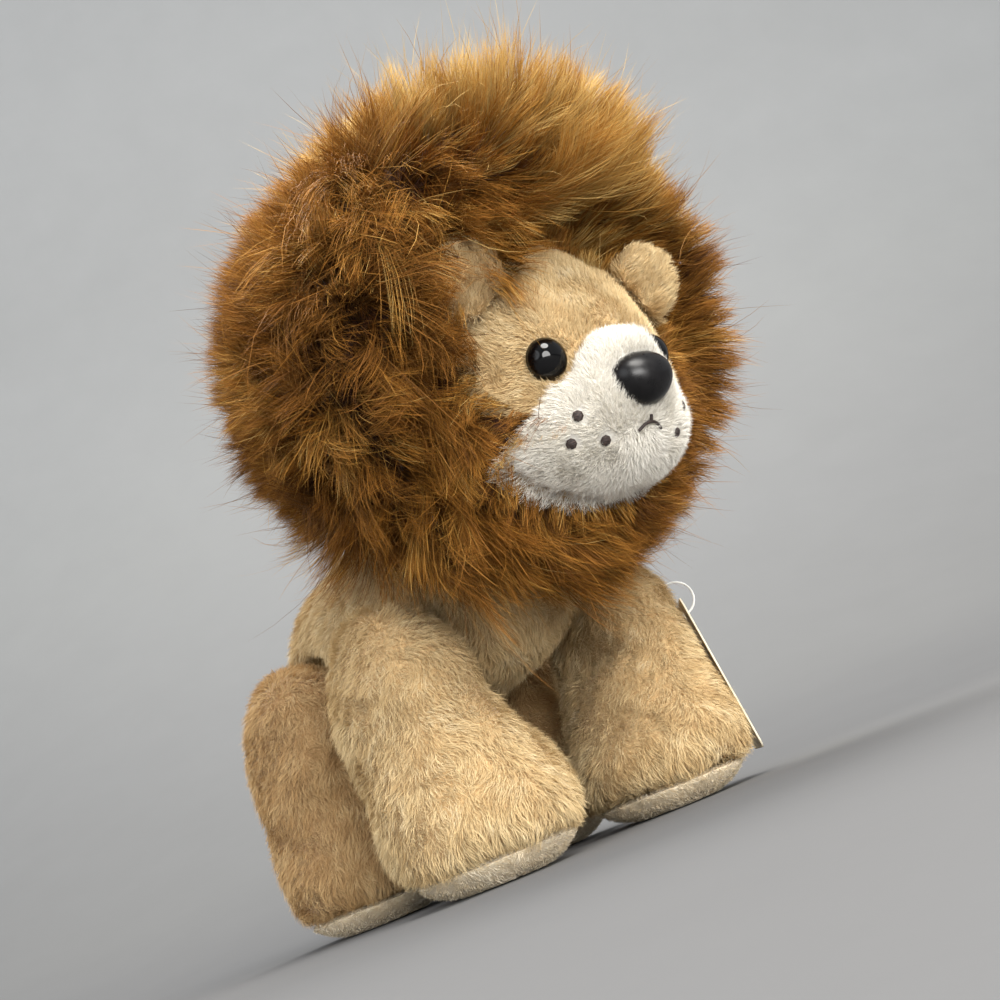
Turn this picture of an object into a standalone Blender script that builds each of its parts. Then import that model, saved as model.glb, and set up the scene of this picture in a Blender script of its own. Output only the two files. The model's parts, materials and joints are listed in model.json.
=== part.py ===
"""Plush lion that stands on four stuffed paws. It faces -Y and its left side is +X.

Every length is in metres. The body, muzzle, limbs and tail are lofts over tables of shares, smoothed from
coarse cages. The mane is a ring and a cap of tufts. Each form is cut clear of what it sits on or moves past.
"""

import math

import bmesh
import bpy
from mathutils import Matrix, Vector

# Fits
SEAM_GAP = 0.0003
MOVING_GAP = 0.0006
OVERRUN = 0.010

# Torso: a round chest about the neck centre, then a swelling barrel to the rump
CHEST_RADIUS = 0.046
NECK_Y = -0.032
NECK_HEIGHT = 0.114
RUMP_Y = 0.092
BARREL_HALF_WIDTH = 0.050
BARREL_HALF_HEIGHT = 0.045
BARREL_DROP = 0.006
BARREL_SHARES = (
    # along, half width, half height, drop
    (0.20, 0.97, 1.01, 0.3),
    (0.45, 1.00, 0.98, 0.7),
    (0.70, 1.01, 1.00, 1.0),
    (0.88, 0.80, 0.82, 1.0),
    (0.975, 0.45, 0.46, 1.0),
)
CHEST_ARC_SHARES = (0.22, 0.5, 0.78, 1.0)
HEAD_NOD = math.radians(25)
NOD_LIMIT = math.radians(12)
NOD_CLEARANCE = 0.0012

# Head
HEAD_Y = -0.068
HEAD_HEIGHT = 0.178
HEAD_HALF_WIDTH = 0.062
HEAD_HALF_DEPTH = 0.062
HEAD_HALF_HEIGHT = 0.060
CHEEK_SWELL_SHARE = 0.05

# Muzzle: the white panel from the chin up over the bridge of the nose, placed from the head's centre
MUZZLE_FORWARD = 0.030
MUZZLE_DROP = 0.040
MUZZLE_HEIGHT = 0.069
MUZZLE_HALF_WIDTH = 0.0455
MUZZLE_REACH = 0.043
MUZZLE_SHARES = (
    # up, half width, reach forward
    (0.06, 0.52, 0.56),
    (0.22, 0.94, 0.90),
    (0.41, 1.00, 1.00),
    (0.59, 0.88, 0.98),
    (0.75, 0.56, 0.92),
    (0.90, 0.34, 0.86),
)

# Ears, placed from the head's centre
EAR_X = 0.0400
EAR_FORWARD = 0.037
EAR_RISE = 0.0400
EAR_HALF_WIDTH = 0.0155
EAR_HALF_DEPTH = 0.0080
EAR_HALF_HEIGHT = 0.0165
EAR_HOLLOW = 0.003
EAR_CLEARANCE = 0.0010
EAR_LEAN = math.radians(30)
EAR_TURN = math.radians(-4)

# Safety eyes, placed from the head's centre, and the nose, placed up the muzzle
EYE_X = 0.0245
EYE_RISE = 0.013
EYE_FORWARD_SHARE = 0.5
EYE_SINK = 0.0025
EYE_RADIUS = 0.0075
EYE_DOME = 0.0058
EYE_WASHER_SHARE = 0.5
EYE_SHANK_RADIUS = 0.0022
EYE_SHANK = 0.012
EYE_WASHER_RADIUS = 0.0065
NOSE_UP_SHARE = 0.63
NOSE_SINK = 0.0015
NOSE_RADIUS = 0.0114
NOSE_DOME = 0.0080
NOSE_FLATTEN_SHARE = 0.76
NOSE_TAPER_SHARE = 0.20
NOSE_WASHER_SHARE = 0.8
NOSE_SHANK_RADIUS = 0.0026
NOSE_SHANK = 0.0185
NOSE_WASHER_RADIUS = 0.0075
SHANK_RIDGE = 0.0005
SHANK_RIDGES = 3
WASHER_THICKNESS = 0.0016
WASHER_CLEARANCE = 0.0007
BUTTON_RIM = 0.0008

# Embroidery, placed up and across the muzzle
THREAD_RADIUS = 0.00055
MOUTH_UP_SHARE = 0.425
MOUTH_HALF_WIDTH = 0.0050
MOUTH_DROP = 0.0024
MOUTH_STEM = 0.0024
MOUTH_STEPS = 8
STEM_STEPS = 3
DOT_RADIUS = 0.0019
DOT_DOME = 0.0010
DOT_SHARES = (
    # across, up
    (0.527, 0.485),
    (0.576, 0.362),
    (0.358, 0.360),
)

# Mane: tufted rings about a level axis over the head's centre, in front of and behind it
MANE_RISE = 0.022
MANE_HALF_WIDTH = 0.100
MANE_UP = 0.097
MANE_DOWN = 0.093
MANE_FORWARD = 0.050
MANE_SEAM_BACK = 0.012
MANE_BACK = 0.130
MANE_FRONT_SHARES = ((0.0, 0.78), (0.08, 0.87), (0.25, 0.96), (0.55, 1.0), (0.80, 1.0), (1.0, 1.0))
MANE_BACK_SHARES = (
    (0.0, 1.0),
    (0.16, 0.99),
    (0.32, 0.96),
    (0.48, 0.90),
    (0.64, 0.80),
    (0.78, 0.66),
    (0.90, 0.45),
    (0.97, 0.22),
)
TUFTS = 16
TUFT_SIDES = 5
TUFT_DEPTH_SHARE = 0.045
FACE_HALF_WIDTH = 0.050
FACE_HALF_HEIGHT = 0.053
FACE_RISE = 0.001
FACE_FLARE_SHARE = 0.32

# Legs: a round top on a level axis, then a shaft that swells into a big paw
SPREAD_LIMIT = math.radians(20)
CLOSE_LIMIT = math.radians(6)
LEG_SEAM_X = 0.034
LEG_SEAT_INSET = 0.006
LEG_TOP_THICKNESS = 0.050
FRONT_AXIS_Y = -0.038
FRONT_AXIS_HEIGHT = 0.072
FRONT_TOP_RADIUS = 0.035
FRONT_PAW_Y = -0.045
FRONT_PAW_HALF_LENGTH = 0.041
HIND_AXIS_Y = 0.050
HIND_AXIS_HEIGHT = 0.074
HIND_TOP_RADIUS = 0.040
HIND_PAW_Y = 0.050
HIND_PAW_HALF_LENGTH = 0.045
PAW_X = 0.0435
PAW_HALF_WIDTH = 0.0355
SEAT_CLEARANCE = 0.0012
SOLE_THICKNESS = 0.009
SOLE_DEPTH_BELOW = 0.0035
CROTCH_SHARE = 0.84
LEG_SHARES = (
    # up to the axis, half width and half length of the paw, blend from paw to top
    (0.02, 0.62, 0.62, 0.0),
    (0.11, 0.86, 0.86, 0.0),
    (0.26, 0.99, 0.99, 0.0),
    (0.44, 0.98, 0.98, 0.12),
    (0.65, 0.90, 0.92, 0.48),
    (0.84, 0.90, 0.90, 0.88),
)
LEG_TOP_ANGLES = tuple(math.radians(angle) for angle in (0, 32, 60, 80))
LEG_TOP_ROUNDING = 0.7

# Tail, level where it leaves the rump and then hanging
TAIL_ROOT_HEIGHT = 0.118
TAIL_RADIUS = 0.0065
TAIL_SOCKET_DEPTH = 0.008
TAIL_STRAIGHT = 0.016
TAIL_BEND_RADIUS = 0.016
TAIL_DROP = 0.040
TUFT_RADIUS = 0.0125
TUFT_LENGTH = 0.046
TUFT_OVERLAP = 0.007
TUFT_SHARES = ((0.06, 0.42), (0.22, 0.72), (0.45, 1.0), (0.68, 0.92), (0.88, 0.50))

# Hang tag on the left shoulder
TAG_WIDTH = 0.042
TAG_LENGTH = 0.066
TAG_THICKNESS = 0.0006
TAG_CORNER = 0.004
TAG_HOLE_RADIUS = 0.0020
TAG_HOLE_INSET = 0.0050
TAG_HEIGHT = 0.070
TAG_STANDOFF = 0.0030
TAG_TURN = math.radians(48)
FASTENER_LOOP_RADIUS = 0.0075
FASTENER_RADIUS = 0.00045

# Mesh fineness
CAGE_SIDES = 12
SMOOTH_LEVELS = 1
HEAD_SEGMENTS = 28
EAR_SEGMENTS = 16
OPENING_STEPS = 32
HULL_SHARE = 0.3
BUTTON_STEPS = 18
DOT_STEPS = 8
WASHER_STEPS = 18
DOME_STEPS = 5
DOT_DOME_STEPS = 2
TUBE_RESOLUTION = 2
LOOP_POINTS = 24
CAGE_SWELL = 3.0 / (2.0 + math.cos(math.tau / CAGE_SIDES))

PLUSH_TAN = ("plush_tan", (0.55, 0.35, 0.15), 0.95, 0.0)
PLUSH_WHITE = ("plush_white", (0.87, 0.85, 0.79), 0.95, 0.0)
PLUSH_CREAM = ("plush_cream", (0.74, 0.60, 0.42), 0.95, 0.0)
PILE_RUST = ("pile_rust", (0.30, 0.11, 0.018), 0.90, 0.0)
BLACK_GLOSS = ("black_gloss", (0.006, 0.006, 0.007), 0.08, 0.0)
BLACK_SATIN = ("black_satin", (0.012, 0.011, 0.012), 0.35, 0.0)
WASHER_PLASTIC = ("washer_plastic", (0.80, 0.80, 0.78), 0.45, 0.0)
THREAD_DARK = ("thread_dark", (0.022, 0.014, 0.012), 0.80, 0.0)
PAPER = ("paper", (0.83, 0.80, 0.72), 0.70, 0.0)
CLEAR_PLASTIC = ("clear_plastic", (0.85, 0.85, 0.85), 0.25, 0.0)

X = Vector((1, 0, 0))
Y = Vector((0, 1, 0))
Z = Vector((0, 0, 1))
NECK = Vector((0, NECK_Y, NECK_HEIGHT))
HEAD = Vector((0, HEAD_Y, HEAD_HEIGHT))
MUZZLE = HEAD - Y * MUZZLE_FORWARD - Z * MUZZLE_DROP
MANE = HEAD + Z * MANE_RISE
LEG_TOP_X = LEG_SEAM_X - LEG_SEAT_INSET + LEG_TOP_THICKNESS / 2
TAIL_ROOT = Vector((0, RUMP_Y - TAIL_SOCKET_DEPTH, TAIL_ROOT_HEIGHT))


def clear_scene():
    """Remove whatever the file starts with."""
    for old in list(bpy.data.objects):
        bpy.data.objects.remove(old, do_unlink=True)


def new_collection(name):
    """A collection linked to the scene."""
    collection = bpy.data.collections.new(name)
    bpy.context.scene.collection.children.link(collection)
    return collection


def material(look):
    """The Principled material of a (name, colour, roughness, metallic) look, made once."""
    name, colour, roughness, metallic = look
    made = bpy.data.materials.get(name)
    if made is None:
        made = bpy.data.materials.new(name)
        made.use_nodes = True
        shader = made.node_tree.nodes["Principled BSDF"]
        shader.inputs["Base Color"].default_value = (*colour, 1.0)
        shader.inputs["Roughness"].default_value = roughness
        shader.inputs["Metallic"].default_value = metallic
        made.diffuse_color = (*colour, 1.0)
    return made


def place(name, data, collection, look=None):
    """An object made from mesh or curve data, in a collection."""
    made = bpy.data.objects.new(name, data)
    collection.objects.link(made)
    if look:
        data.materials.append(material(look))
    return made


def mesh_object(name, bm, collection, look=None):
    """A smooth-shaded object from a bmesh, with its faces turned outward."""
    bmesh.ops.recalc_face_normals(bm, faces=bm.faces)
    data = bpy.data.meshes.new(name)
    bm.to_mesh(data)
    bm.free()
    data.shade_smooth()
    data.set_sharp_from_angle(angle=math.radians(50))
    return place(name, data, collection, look)


def evaluated_mesh(piece):
    """The mesh of an object with its modifiers."""
    depsgraph = bpy.context.evaluated_depsgraph_get()
    return bpy.data.meshes.new_from_object(piece.evaluated_get(depsgraph))


def hide_cutter(piece):
    """Mark an object as a cutter that isn't part of the lion."""
    piece.hide_render = True
    piece.display_type = "WIRE"
    return piece


def smooth(piece):
    """Smooth a coarse cage."""
    step = piece.modifiers.new("smooth", "SUBSURF")
    step.levels = SMOOTH_LEVELS
    step.render_levels = SMOOTH_LEVELS
    return piece


def combine(piece, tool, operation="DIFFERENCE"):
    """Cut, join or intersect a piece with another object."""
    step = piece.modifiers.new(operation.lower() + "_" + tool.name, "BOOLEAN")
    step.operation = operation
    step.solver = "EXACT"
    step.object = tool
    return piece


def cut_all(piece, tools):
    """Cut a piece by each tool in turn."""
    for tool in tools:
        combine(piece, tool)


def grown(piece, gap):
    """Grow a cutter outward by a gap."""
    grow = piece.modifiers.new("grow", "DISPLACE")
    grow.direction = "NORMAL"
    grow.mid_level = 0.0
    grow.strength = gap
    return hide_cutter(piece)


def swollen_copy(piece, gap, cutters):
    """A cutter of a piece, grown by a gap."""
    return grown(place("clear_of_" + piece.name, evaluated_mesh(piece), cutters), gap)


def turned_about(point, angle):
    """A turn about a level axis along X through a point."""
    return Matrix.Translation(point) @ Matrix.Rotation(angle, 4, "X") @ Matrix.Translation(-point)


def swept_hull(piece, gap, moves, cutters):
    """A cutter of the room that a rounded piece needs over a list of its moves."""
    still = evaluated_mesh(piece)
    bm = bmesh.new()
    for move in moves:
        for vert in still.vertices:
            bm.verts.new(move @ vert.co)
    bmesh.ops.convex_hull(bm, input=bm.verts)
    bmesh.ops.delete(bm, geom=[vert for vert in bm.verts if not vert.link_faces], context="VERTS")
    made = mesh_object("room_for_" + piece.name, bm, cutters)
    coarse = made.modifiers.new("coarse", "DECIMATE")
    coarse.ratio = HULL_SHARE
    return grown(made, gap)


def ring(centre, across, up):
    """Points of an ellipse whose half axes are two vectors, widened for the smoothing that follows."""
    points = []
    for step in range(CAGE_SIDES):
        turn = math.tau * step / CAGE_SIDES
        points.append(centre + (across * math.cos(turn) + up * math.sin(turn)) * CAGE_SWELL)
    return points


def loft(name, rings, collection, look=None, tips=None):
    """Skin over rings of points, closed by a tip at each end, or by a flat face where there is no tip."""
    bm = bmesh.new()
    loops = [[bm.verts.new(point) for point in points] for points in rings]
    for lower, upper in zip(loops, loops[1:]):
        count = len(lower)
        for index in range(count):
            after = (index + 1) % count
            bm.faces.new((lower[index], lower[after], upper[after], upper[index]))
    for position, loop in enumerate((loops[0], loops[-1])):
        if tips is None:
            bm.faces.new(loop)
            continue
        tip = bm.verts.new(tips[position])
        for index, vert in enumerate(loop):
            bm.faces.new((tip, vert, loop[(index + 1) % len(loop)]))
    return mesh_object(name, bm, collection, look)


def ball(name, centre, half_sizes, collection, look=None, segments=HEAD_SEGMENTS):
    """A sphere stretched to three half sizes."""
    bm = bmesh.new()
    bmesh.ops.create_uvsphere(bm, u_segments=segments, v_segments=segments * 5 // 8, radius=1)
    bmesh.ops.transform(bm, matrix=Matrix.Diagonal((*half_sizes, 1)), verts=bm.verts)
    bmesh.ops.translate(bm, vec=centre, verts=bm.verts)
    return mesh_object(name, bm, collection, look)


def box(name, low, high, collection):
    """A box between two corners."""
    bm = bmesh.new()
    bmesh.ops.create_cube(bm, size=1)
    low, high = Vector(low), Vector(high)
    bmesh.ops.transform(bm, matrix=Matrix.Diagonal((*(high - low), 1)), verts=bm.verts)
    bmesh.ops.translate(bm, vec=(low + high) / 2, verts=bm.verts)
    return mesh_object(name, bm, collection)


def turned(name, profile, steps, collection, look=None, closed=False):
    """A profile of (radius, height) turned about Z, listed down its outer side."""
    bm = bmesh.new()
    verts = [bm.verts.new((radius, 0, height)) for radius, height in profile]
    for start, end in zip(verts, verts[1:]):
        bm.edges.new((start, end))
    if closed:
        bm.edges.new((verts[-1], verts[0]))
    data = bpy.data.meshes.new(name)
    bm.to_mesh(data)
    bm.free()
    spun = bpy.data.objects.new(name + "_profile", data)
    bpy.context.scene.collection.objects.link(spun)
    screw = spun.modifiers.new("turn", "SCREW")
    screw.steps = steps
    screw.render_steps = steps
    screw.use_merge_vertices = True
    screw.merge_threshold = SEAM_GAP / 100
    body = bmesh.new()
    body.from_mesh(evaluated_mesh(spun))
    bpy.data.objects.remove(spun, do_unlink=True)
    return mesh_object(name, body, collection, look)


def tube(name, points, radius, collection, look=None, cyclic=False):
    """A tube of one radius along points, as a closed mesh."""
    curve = bpy.data.curves.new(name + "_path", "CURVE")
    curve.dimensions = "3D"
    curve.bevel_depth = radius
    curve.bevel_resolution = TUBE_RESOLUTION
    curve.use_fill_caps = not cyclic
    spline = curve.splines.new("POLY")
    spline.points.add(len(points) - 1)
    for knot, point in zip(spline.points, points):
        knot.co = (*point, 1)
    spline.use_cyclic_u = cyclic
    route = bpy.data.objects.new(name + "_route", curve)
    bpy.context.scene.collection.objects.link(route)
    body = bmesh.new()
    body.from_mesh(evaluated_mesh(route))
    bmesh.ops.remove_doubles(body, verts=body.verts, dist=radius / 100)
    bpy.data.objects.remove(route, do_unlink=True)
    return mesh_object(name, body, collection, look)


def surface_at(piece, start, direction):
    """Where a ray meets a piece, and the outward normal there. It is moved a little off an edge."""
    bpy.context.view_layer.update()
    solid = piece.evaluated_get(bpy.context.evaluated_depsgraph_get())
    aside = direction.orthogonal().normalized() * SEAM_GAP / 10
    for tries in range(3):
        hit, point, normal, _ = solid.ray_cast(start + aside * tries, direction)
        if hit:
            return point, normal
    raise ValueError("the ray misses " + piece.name)


def facing(point, outward, upward=Z):
    """A placement at a point, with local Z outward and local Y as near upward as it can be."""
    depth = outward.normalized()
    side = upward.cross(depth).normalized()
    lift = depth.cross(side)
    return Matrix.Translation(point) @ Matrix((side, lift, depth)).transposed().to_4x4()


def make_torso(parts, cutters):
    """The stuffed body, with a flat round seat for each leg and a socket for the tail."""
    rings = []
    for share in CHEST_ARC_SHARES:
        angle = math.pi / 2 * share
        centre = NECK - Y * CHEST_RADIUS * math.cos(angle)
        radius = CHEST_RADIUS * math.sin(angle)
        rings.append(ring(centre, X * radius, Z * radius))
    length = RUMP_Y - NECK_Y
    for along, width, height, drop in BARREL_SHARES:
        centre = NECK + Y * length * along - Z * BARREL_DROP * drop
        rings.append(ring(centre, X * BARREL_HALF_WIDTH * width, Z * BARREL_HALF_HEIGHT * height))
    tips = (NECK - Y * CHEST_RADIUS, NECK + Y * length - Z * BARREL_DROP)
    torso = smooth(loft("torso", rings, parts, PLUSH_TAN, tips))
    for side in (1, -1):
        for name, y, height, radius in (
            ("front_seat", FRONT_AXIS_Y, FRONT_AXIS_HEIGHT, FRONT_TOP_RADIUS),
            ("hind_seat", HIND_AXIS_Y, HIND_AXIS_HEIGHT, HIND_TOP_RADIUS),
        ):
            combine(torso, leg_seat(name, side, y, height, radius + SEAT_CLEARANCE, cutters))
    bore = barrel_profile(TAIL_RADIUS + MOVING_GAP, OVERRUN * 2)
    socket = turned("tail_socket", bore, WASHER_STEPS, cutters)
    socket.data.transform(facing(TAIL_ROOT + Y * (OVERRUN - MOVING_GAP), Y))
    return combine(torso, hide_cutter(socket))


def barrel_profile(radius, length):
    """Profile of a plain cylinder about its middle."""
    return ((0, length / 2), (radius, length / 2), (radius, -length / 2), (0, -length / 2))


def leg_seat(name, side, y, height, radius, cutters):
    """Cutter of the flat round seat that one leg turns against."""
    reach = BARREL_HALF_WIDTH
    seat = turned(name, barrel_profile(radius, reach), OPENING_STEPS, cutters)
    middle = Vector((side * (LEG_SEAM_X + reach / 2), y, height))
    seat.data.transform(facing(middle, X * side))
    return hide_cutter(seat)


def make_head(parts):
    """The stuffed head ball, a little wider at the cheeks."""
    head = ball("head", HEAD, (HEAD_HALF_WIDTH, HEAD_HALF_DEPTH, HEAD_HALF_HEIGHT), parts, PLUSH_TAN)
    for vert in head.data.vertices:
        low = max(0.0, (HEAD_HEIGHT - vert.co.z) / HEAD_HALF_HEIGHT)
        vert.co.x *= 1 + CHEEK_SWELL_SHARE * math.sin(math.pi * low)
    return head


def make_muzzle(parts):
    """The white panel: chin, cheeks and the bridge of the nose."""
    rings = []
    for up, width, reach in MUZZLE_SHARES:
        centre = MUZZLE + Z * MUZZLE_HEIGHT * up
        rings.append(ring(centre, X * MUZZLE_HALF_WIDTH * width, Y * MUZZLE_REACH * reach))
    return smooth(loft("muzzle", rings, parts, PLUSH_WHITE, (MUZZLE, MUZZLE + Z * MUZZLE_HEIGHT)))


def make_ear(name, side, parts, gap=None):
    """A small round ear with a hollow front, or with a gap, the full room that it needs in the mane."""
    half_sizes = [half + (gap or 0) for half in (EAR_HALF_WIDTH, EAR_HALF_DEPTH, EAR_HALF_HEIGHT)]
    ear = ball(name, Vector(), half_sizes, parts, PLUSH_TAN, EAR_SEGMENTS)
    if gap:
        hide_cutter(ear)
    else:
        for vert in ear.data.vertices:
            spread = (vert.co.x / EAR_HALF_WIDTH) ** 2 + (vert.co.z / EAR_HALF_HEIGHT) ** 2
            if vert.co.y < 0:
                vert.co.y += EAR_HOLLOW * max(0.0, 1 - 2 * spread)
    lean = Matrix.Rotation(side * EAR_LEAN, 4, "Y")
    turn = Matrix.Rotation(side * EAR_TURN, 4, "Z")
    centre = HEAD + X * side * EAR_X - Y * EAR_FORWARD + Z * EAR_RISE
    ear.data.transform(Matrix.Translation(centre) @ turn @ lean)
    return ear


def mane_ring(behind, reach_share, row):
    """One tufted ring of the mane, so far behind the head's centre. Its tufts alternate from row to row."""
    points = []
    count = TUFTS * TUFT_SIDES
    for step in range(count):
        turn = math.tau * step / count
        swell = 1 + TUFT_DEPTH_SHARE * math.cos(TUFTS * turn + math.pi * (row % 2))
        lift = math.sin(turn)
        rise = (MANE_UP if lift > 0 else MANE_DOWN) * lift
        outward = X * MANE_HALF_WIDTH * math.cos(turn) + Z * rise
        points.append(MANE + Y * behind + outward * reach_share * swell)
    return points


def make_mane_front(parts):
    """The ring of long pile round the face."""
    length = MANE_FORWARD + MANE_SEAM_BACK - SEAM_GAP
    rings = [
        mane_ring(length * along - MANE_FORWARD, reach, row)
        for row, (along, reach) in enumerate(MANE_FRONT_SHARES)
    ]
    return loft("mane_front", rings, parts, PILE_RUST)


def make_mane_back(parts):
    """The cap of long pile over the back of the head and neck."""
    length = MANE_BACK - MANE_SEAM_BACK
    rings = [
        mane_ring(MANE_SEAM_BACK + length * along, reach, row + 1)
        for row, (along, reach) in enumerate(MANE_BACK_SHARES)
    ]
    return loft("mane_back", rings, parts, PILE_RUST)


def make_face_opening(cutters):
    """Cutter of the round opening that the face looks out of, flaring to the front."""
    length = MANE_FORWARD + OVERRUN
    profile = (
        (0, length / 2),
        (1 + FACE_FLARE_SHARE, length / 2),
        (1, -length / 2),
        (0, -length / 2),
    )
    opening = turned("face_opening", profile, OPENING_STEPS, cutters)
    opening.data.transform(Matrix.Diagonal((FACE_HALF_WIDTH, FACE_HALF_HEIGHT, 1, 1)))
    middle = Vector((0, HEAD_Y - length / 2, HEAD_HEIGHT + FACE_RISE))
    opening.data.transform(facing(middle, -Y))
    return hide_cutter(opening)


def dome_profile(radius, height, steps=DOME_STEPS):
    """Points down a dome, from its top to its rim."""
    points = []
    for step in range(steps + 1):
        angle = math.pi / 2 * step / steps
        points.append((radius * math.sin(angle), height * math.cos(angle)))
    return points


def button_profile(radius, dome, shank_radius, shank):
    """A safety button: dome, rim, flat back and ridged shank."""
    profile = dome_profile(radius, dome)
    profile += [(radius, -BUTTON_RIM), (shank_radius, -BUTTON_RIM)]
    pitch = (shank - BUTTON_RIM) / (SHANK_RIDGES + 1)
    for ridge in range(SHANK_RIDGES):
        start = -BUTTON_RIM - pitch * (ridge + 1)
        profile += [(shank_radius, start), (shank_radius - SHANK_RIDGE, start)]
        profile += [(shank_radius - SHANK_RIDGE, start - pitch / 2), (shank_radius, start - pitch / 2)]
    return profile + [(shank_radius, -shank), (0, -shank)]


def socket_profile(radius, shank_radius, shank, washer_radius, washer_depth):
    """The room in the stuffed head for a button's back, its shank and its washer."""
    bore = shank_radius + SEAM_GAP
    room = washer_radius + SEAM_GAP
    top = -washer_depth + SEAM_GAP
    bottom = -washer_depth - WASHER_THICKNESS - SEAM_GAP
    back = -BUTTON_RIM - SEAM_GAP
    seat = radius + SEAM_GAP
    return (
        (0, OVERRUN),
        (seat, OVERRUN),
        (seat, back),
        (bore, back),
        (bore, top),
        (room, top),
        (room, bottom),
        (bore, bottom),
        (bore, -shank - SEAM_GAP),
        (0, -shank - SEAM_GAP),
    )


def make_button(name, seat, sizes, looks, parts, cutters):
    """A safety button, its washer and the cutter of their socket, placed by a seat on the face."""
    radius, dome, shank_radius, shank, washer_radius, washer_share = sizes
    button = turned(name, button_profile(radius, dome, shank_radius, shank), BUTTON_STEPS, parts, looks[0])
    washer_depth = shank * washer_share
    inner = shank_radius + WASHER_CLEARANCE
    washer_profile = (
        (washer_radius, -washer_depth),
        (washer_radius, -washer_depth - WASHER_THICKNESS),
        (inner, -washer_depth - WASHER_THICKNESS),
        (inner, -washer_depth),
    )
    washer = turned(name + "_washer", washer_profile, WASHER_STEPS, parts, looks[1], closed=True)
    profile = socket_profile(radius, inner, shank, washer_radius, washer_depth)
    socket = hide_cutter(turned(name + "_socket", profile, BUTTON_STEPS, cutters))
    if name == "nose":
        shape_nose(button.data)
        shape_nose(socket.data)
    for piece in (button, washer, socket):
        piece.data.transform(seat)
    return button, washer, socket


def shape_nose(mesh, grow=0.0):
    """Turn a round dome into the rounded triangle of a nose, wide above and narrow below."""
    for vert in mesh.vertices:
        outside = math.hypot(vert.co.x, vert.co.y) > NOSE_SHANK_RADIUS + WASHER_CLEARANCE + SEAM_GAP
        if outside and vert.co.z > -BUTTON_RIM - SEAM_GAP - grow:
            vert.co.x *= 1 + NOSE_TAPER_SHARE * vert.co.y / NOSE_RADIUS
            vert.co.y *= NOSE_FLATTEN_SHARE


def make_eyes(head, muzzle, parts, cutters):
    """Both eyes, which face outward from the head's surface."""
    made = []
    sizes = (EYE_RADIUS, EYE_DOME, EYE_SHANK_RADIUS, EYE_SHANK, EYE_WASHER_RADIUS, EYE_WASHER_SHARE)
    looks = (BLACK_GLOSS, WASHER_PLASTIC)
    for word, side in (("left", 1), ("right", -1)):
        start = HEAD + X * side * EYE_X - Y * HEAD_HALF_DEPTH * 2 + Z * EYE_RISE
        point, normal = surface_at(head, start, Y)
        axis = (normal * (1 - EYE_FORWARD_SHARE) - Y * EYE_FORWARD_SHARE).normalized()
        seat = facing(point - axis * (EYE_SINK - BUTTON_RIM), axis)
        eye, washer, socket = make_button("eye_" + word, seat, sizes, looks, parts, cutters)
        washer.name = "eye_washer_" + word
        combine(head, socket)
        combine(muzzle, socket)
        made += [eye, washer]
    return made


def make_nose(head, muzzle, parts, cutters):
    """The nose, whose shank goes through the muzzle into the head."""
    sizes = (NOSE_RADIUS, NOSE_DOME, NOSE_SHANK_RADIUS, NOSE_SHANK, NOSE_WASHER_RADIUS, NOSE_WASHER_SHARE)
    looks = (BLACK_SATIN, WASHER_PLASTIC)
    point, normal = on_muzzle(muzzle, 0, MUZZLE_HEIGHT * NOSE_UP_SHARE)
    seat = facing(point - normal * (NOSE_SINK - BUTTON_RIM), normal)
    nose, washer, socket = make_button("nose", seat, sizes, looks, parts, cutters)
    combine(head, socket)
    combine(muzzle, socket)
    return [nose, washer]


def on_muzzle(muzzle, across, up, lift=0.0):
    """A point over the muzzle's front, so far across and up it, lifted along its normal."""
    start = MUZZLE + X * across + Z * up - Y * MUZZLE_REACH * 2
    point, normal = surface_at(muzzle, start, Y)
    return point + normal * lift, normal


def make_mouth(muzzle, parts, cutters):
    """The embroidered mouth: a short stem that splits into two drooping arms."""
    lift = THREAD_RADIUS + SEAM_GAP
    middle = MUZZLE_HEIGHT * MOUTH_UP_SHARE
    arms = []
    for step in range(MOUTH_STEPS + 1):
        share = 2 * step / MOUTH_STEPS - 1
        arms.append(on_muzzle(muzzle, MOUTH_HALF_WIDTH * share, middle - MOUTH_DROP * share**2, lift)[0])
    stem = []
    for step in range(STEM_STEPS + 1):
        stem.append(on_muzzle(muzzle, 0, middle + MOUTH_STEM * step / STEM_STEPS, lift)[0])
    mouth = tube("mouth_stitch", arms, THREAD_RADIUS, parts, THREAD_DARK)
    join = hide_cutter(tube("mouth_stem", stem, THREAD_RADIUS, cutters))
    return combine(mouth, join, "UNION")


def make_whisker_dots(muzzle, parts):
    """Three satin-stitched dots on each cheek."""
    made = []
    for word, side in (("left", 1), ("right", -1)):
        for number, (across, up) in enumerate(DOT_SHARES, 1):
            sideways = side * MUZZLE_HALF_WIDTH * across
            point, normal = on_muzzle(muzzle, sideways, MUZZLE_HEIGHT * up, SEAM_GAP)
            profile = dome_profile(DOT_RADIUS, DOT_DOME, DOT_DOME_STEPS) + [(0, 0)]
            dot = turned(f"whisker_dot_{word}_{number}", profile, DOT_STEPS, parts, THREAD_DARK)
            dot.data.transform(facing(point, normal))
            made.append(dot)
    return made


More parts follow.
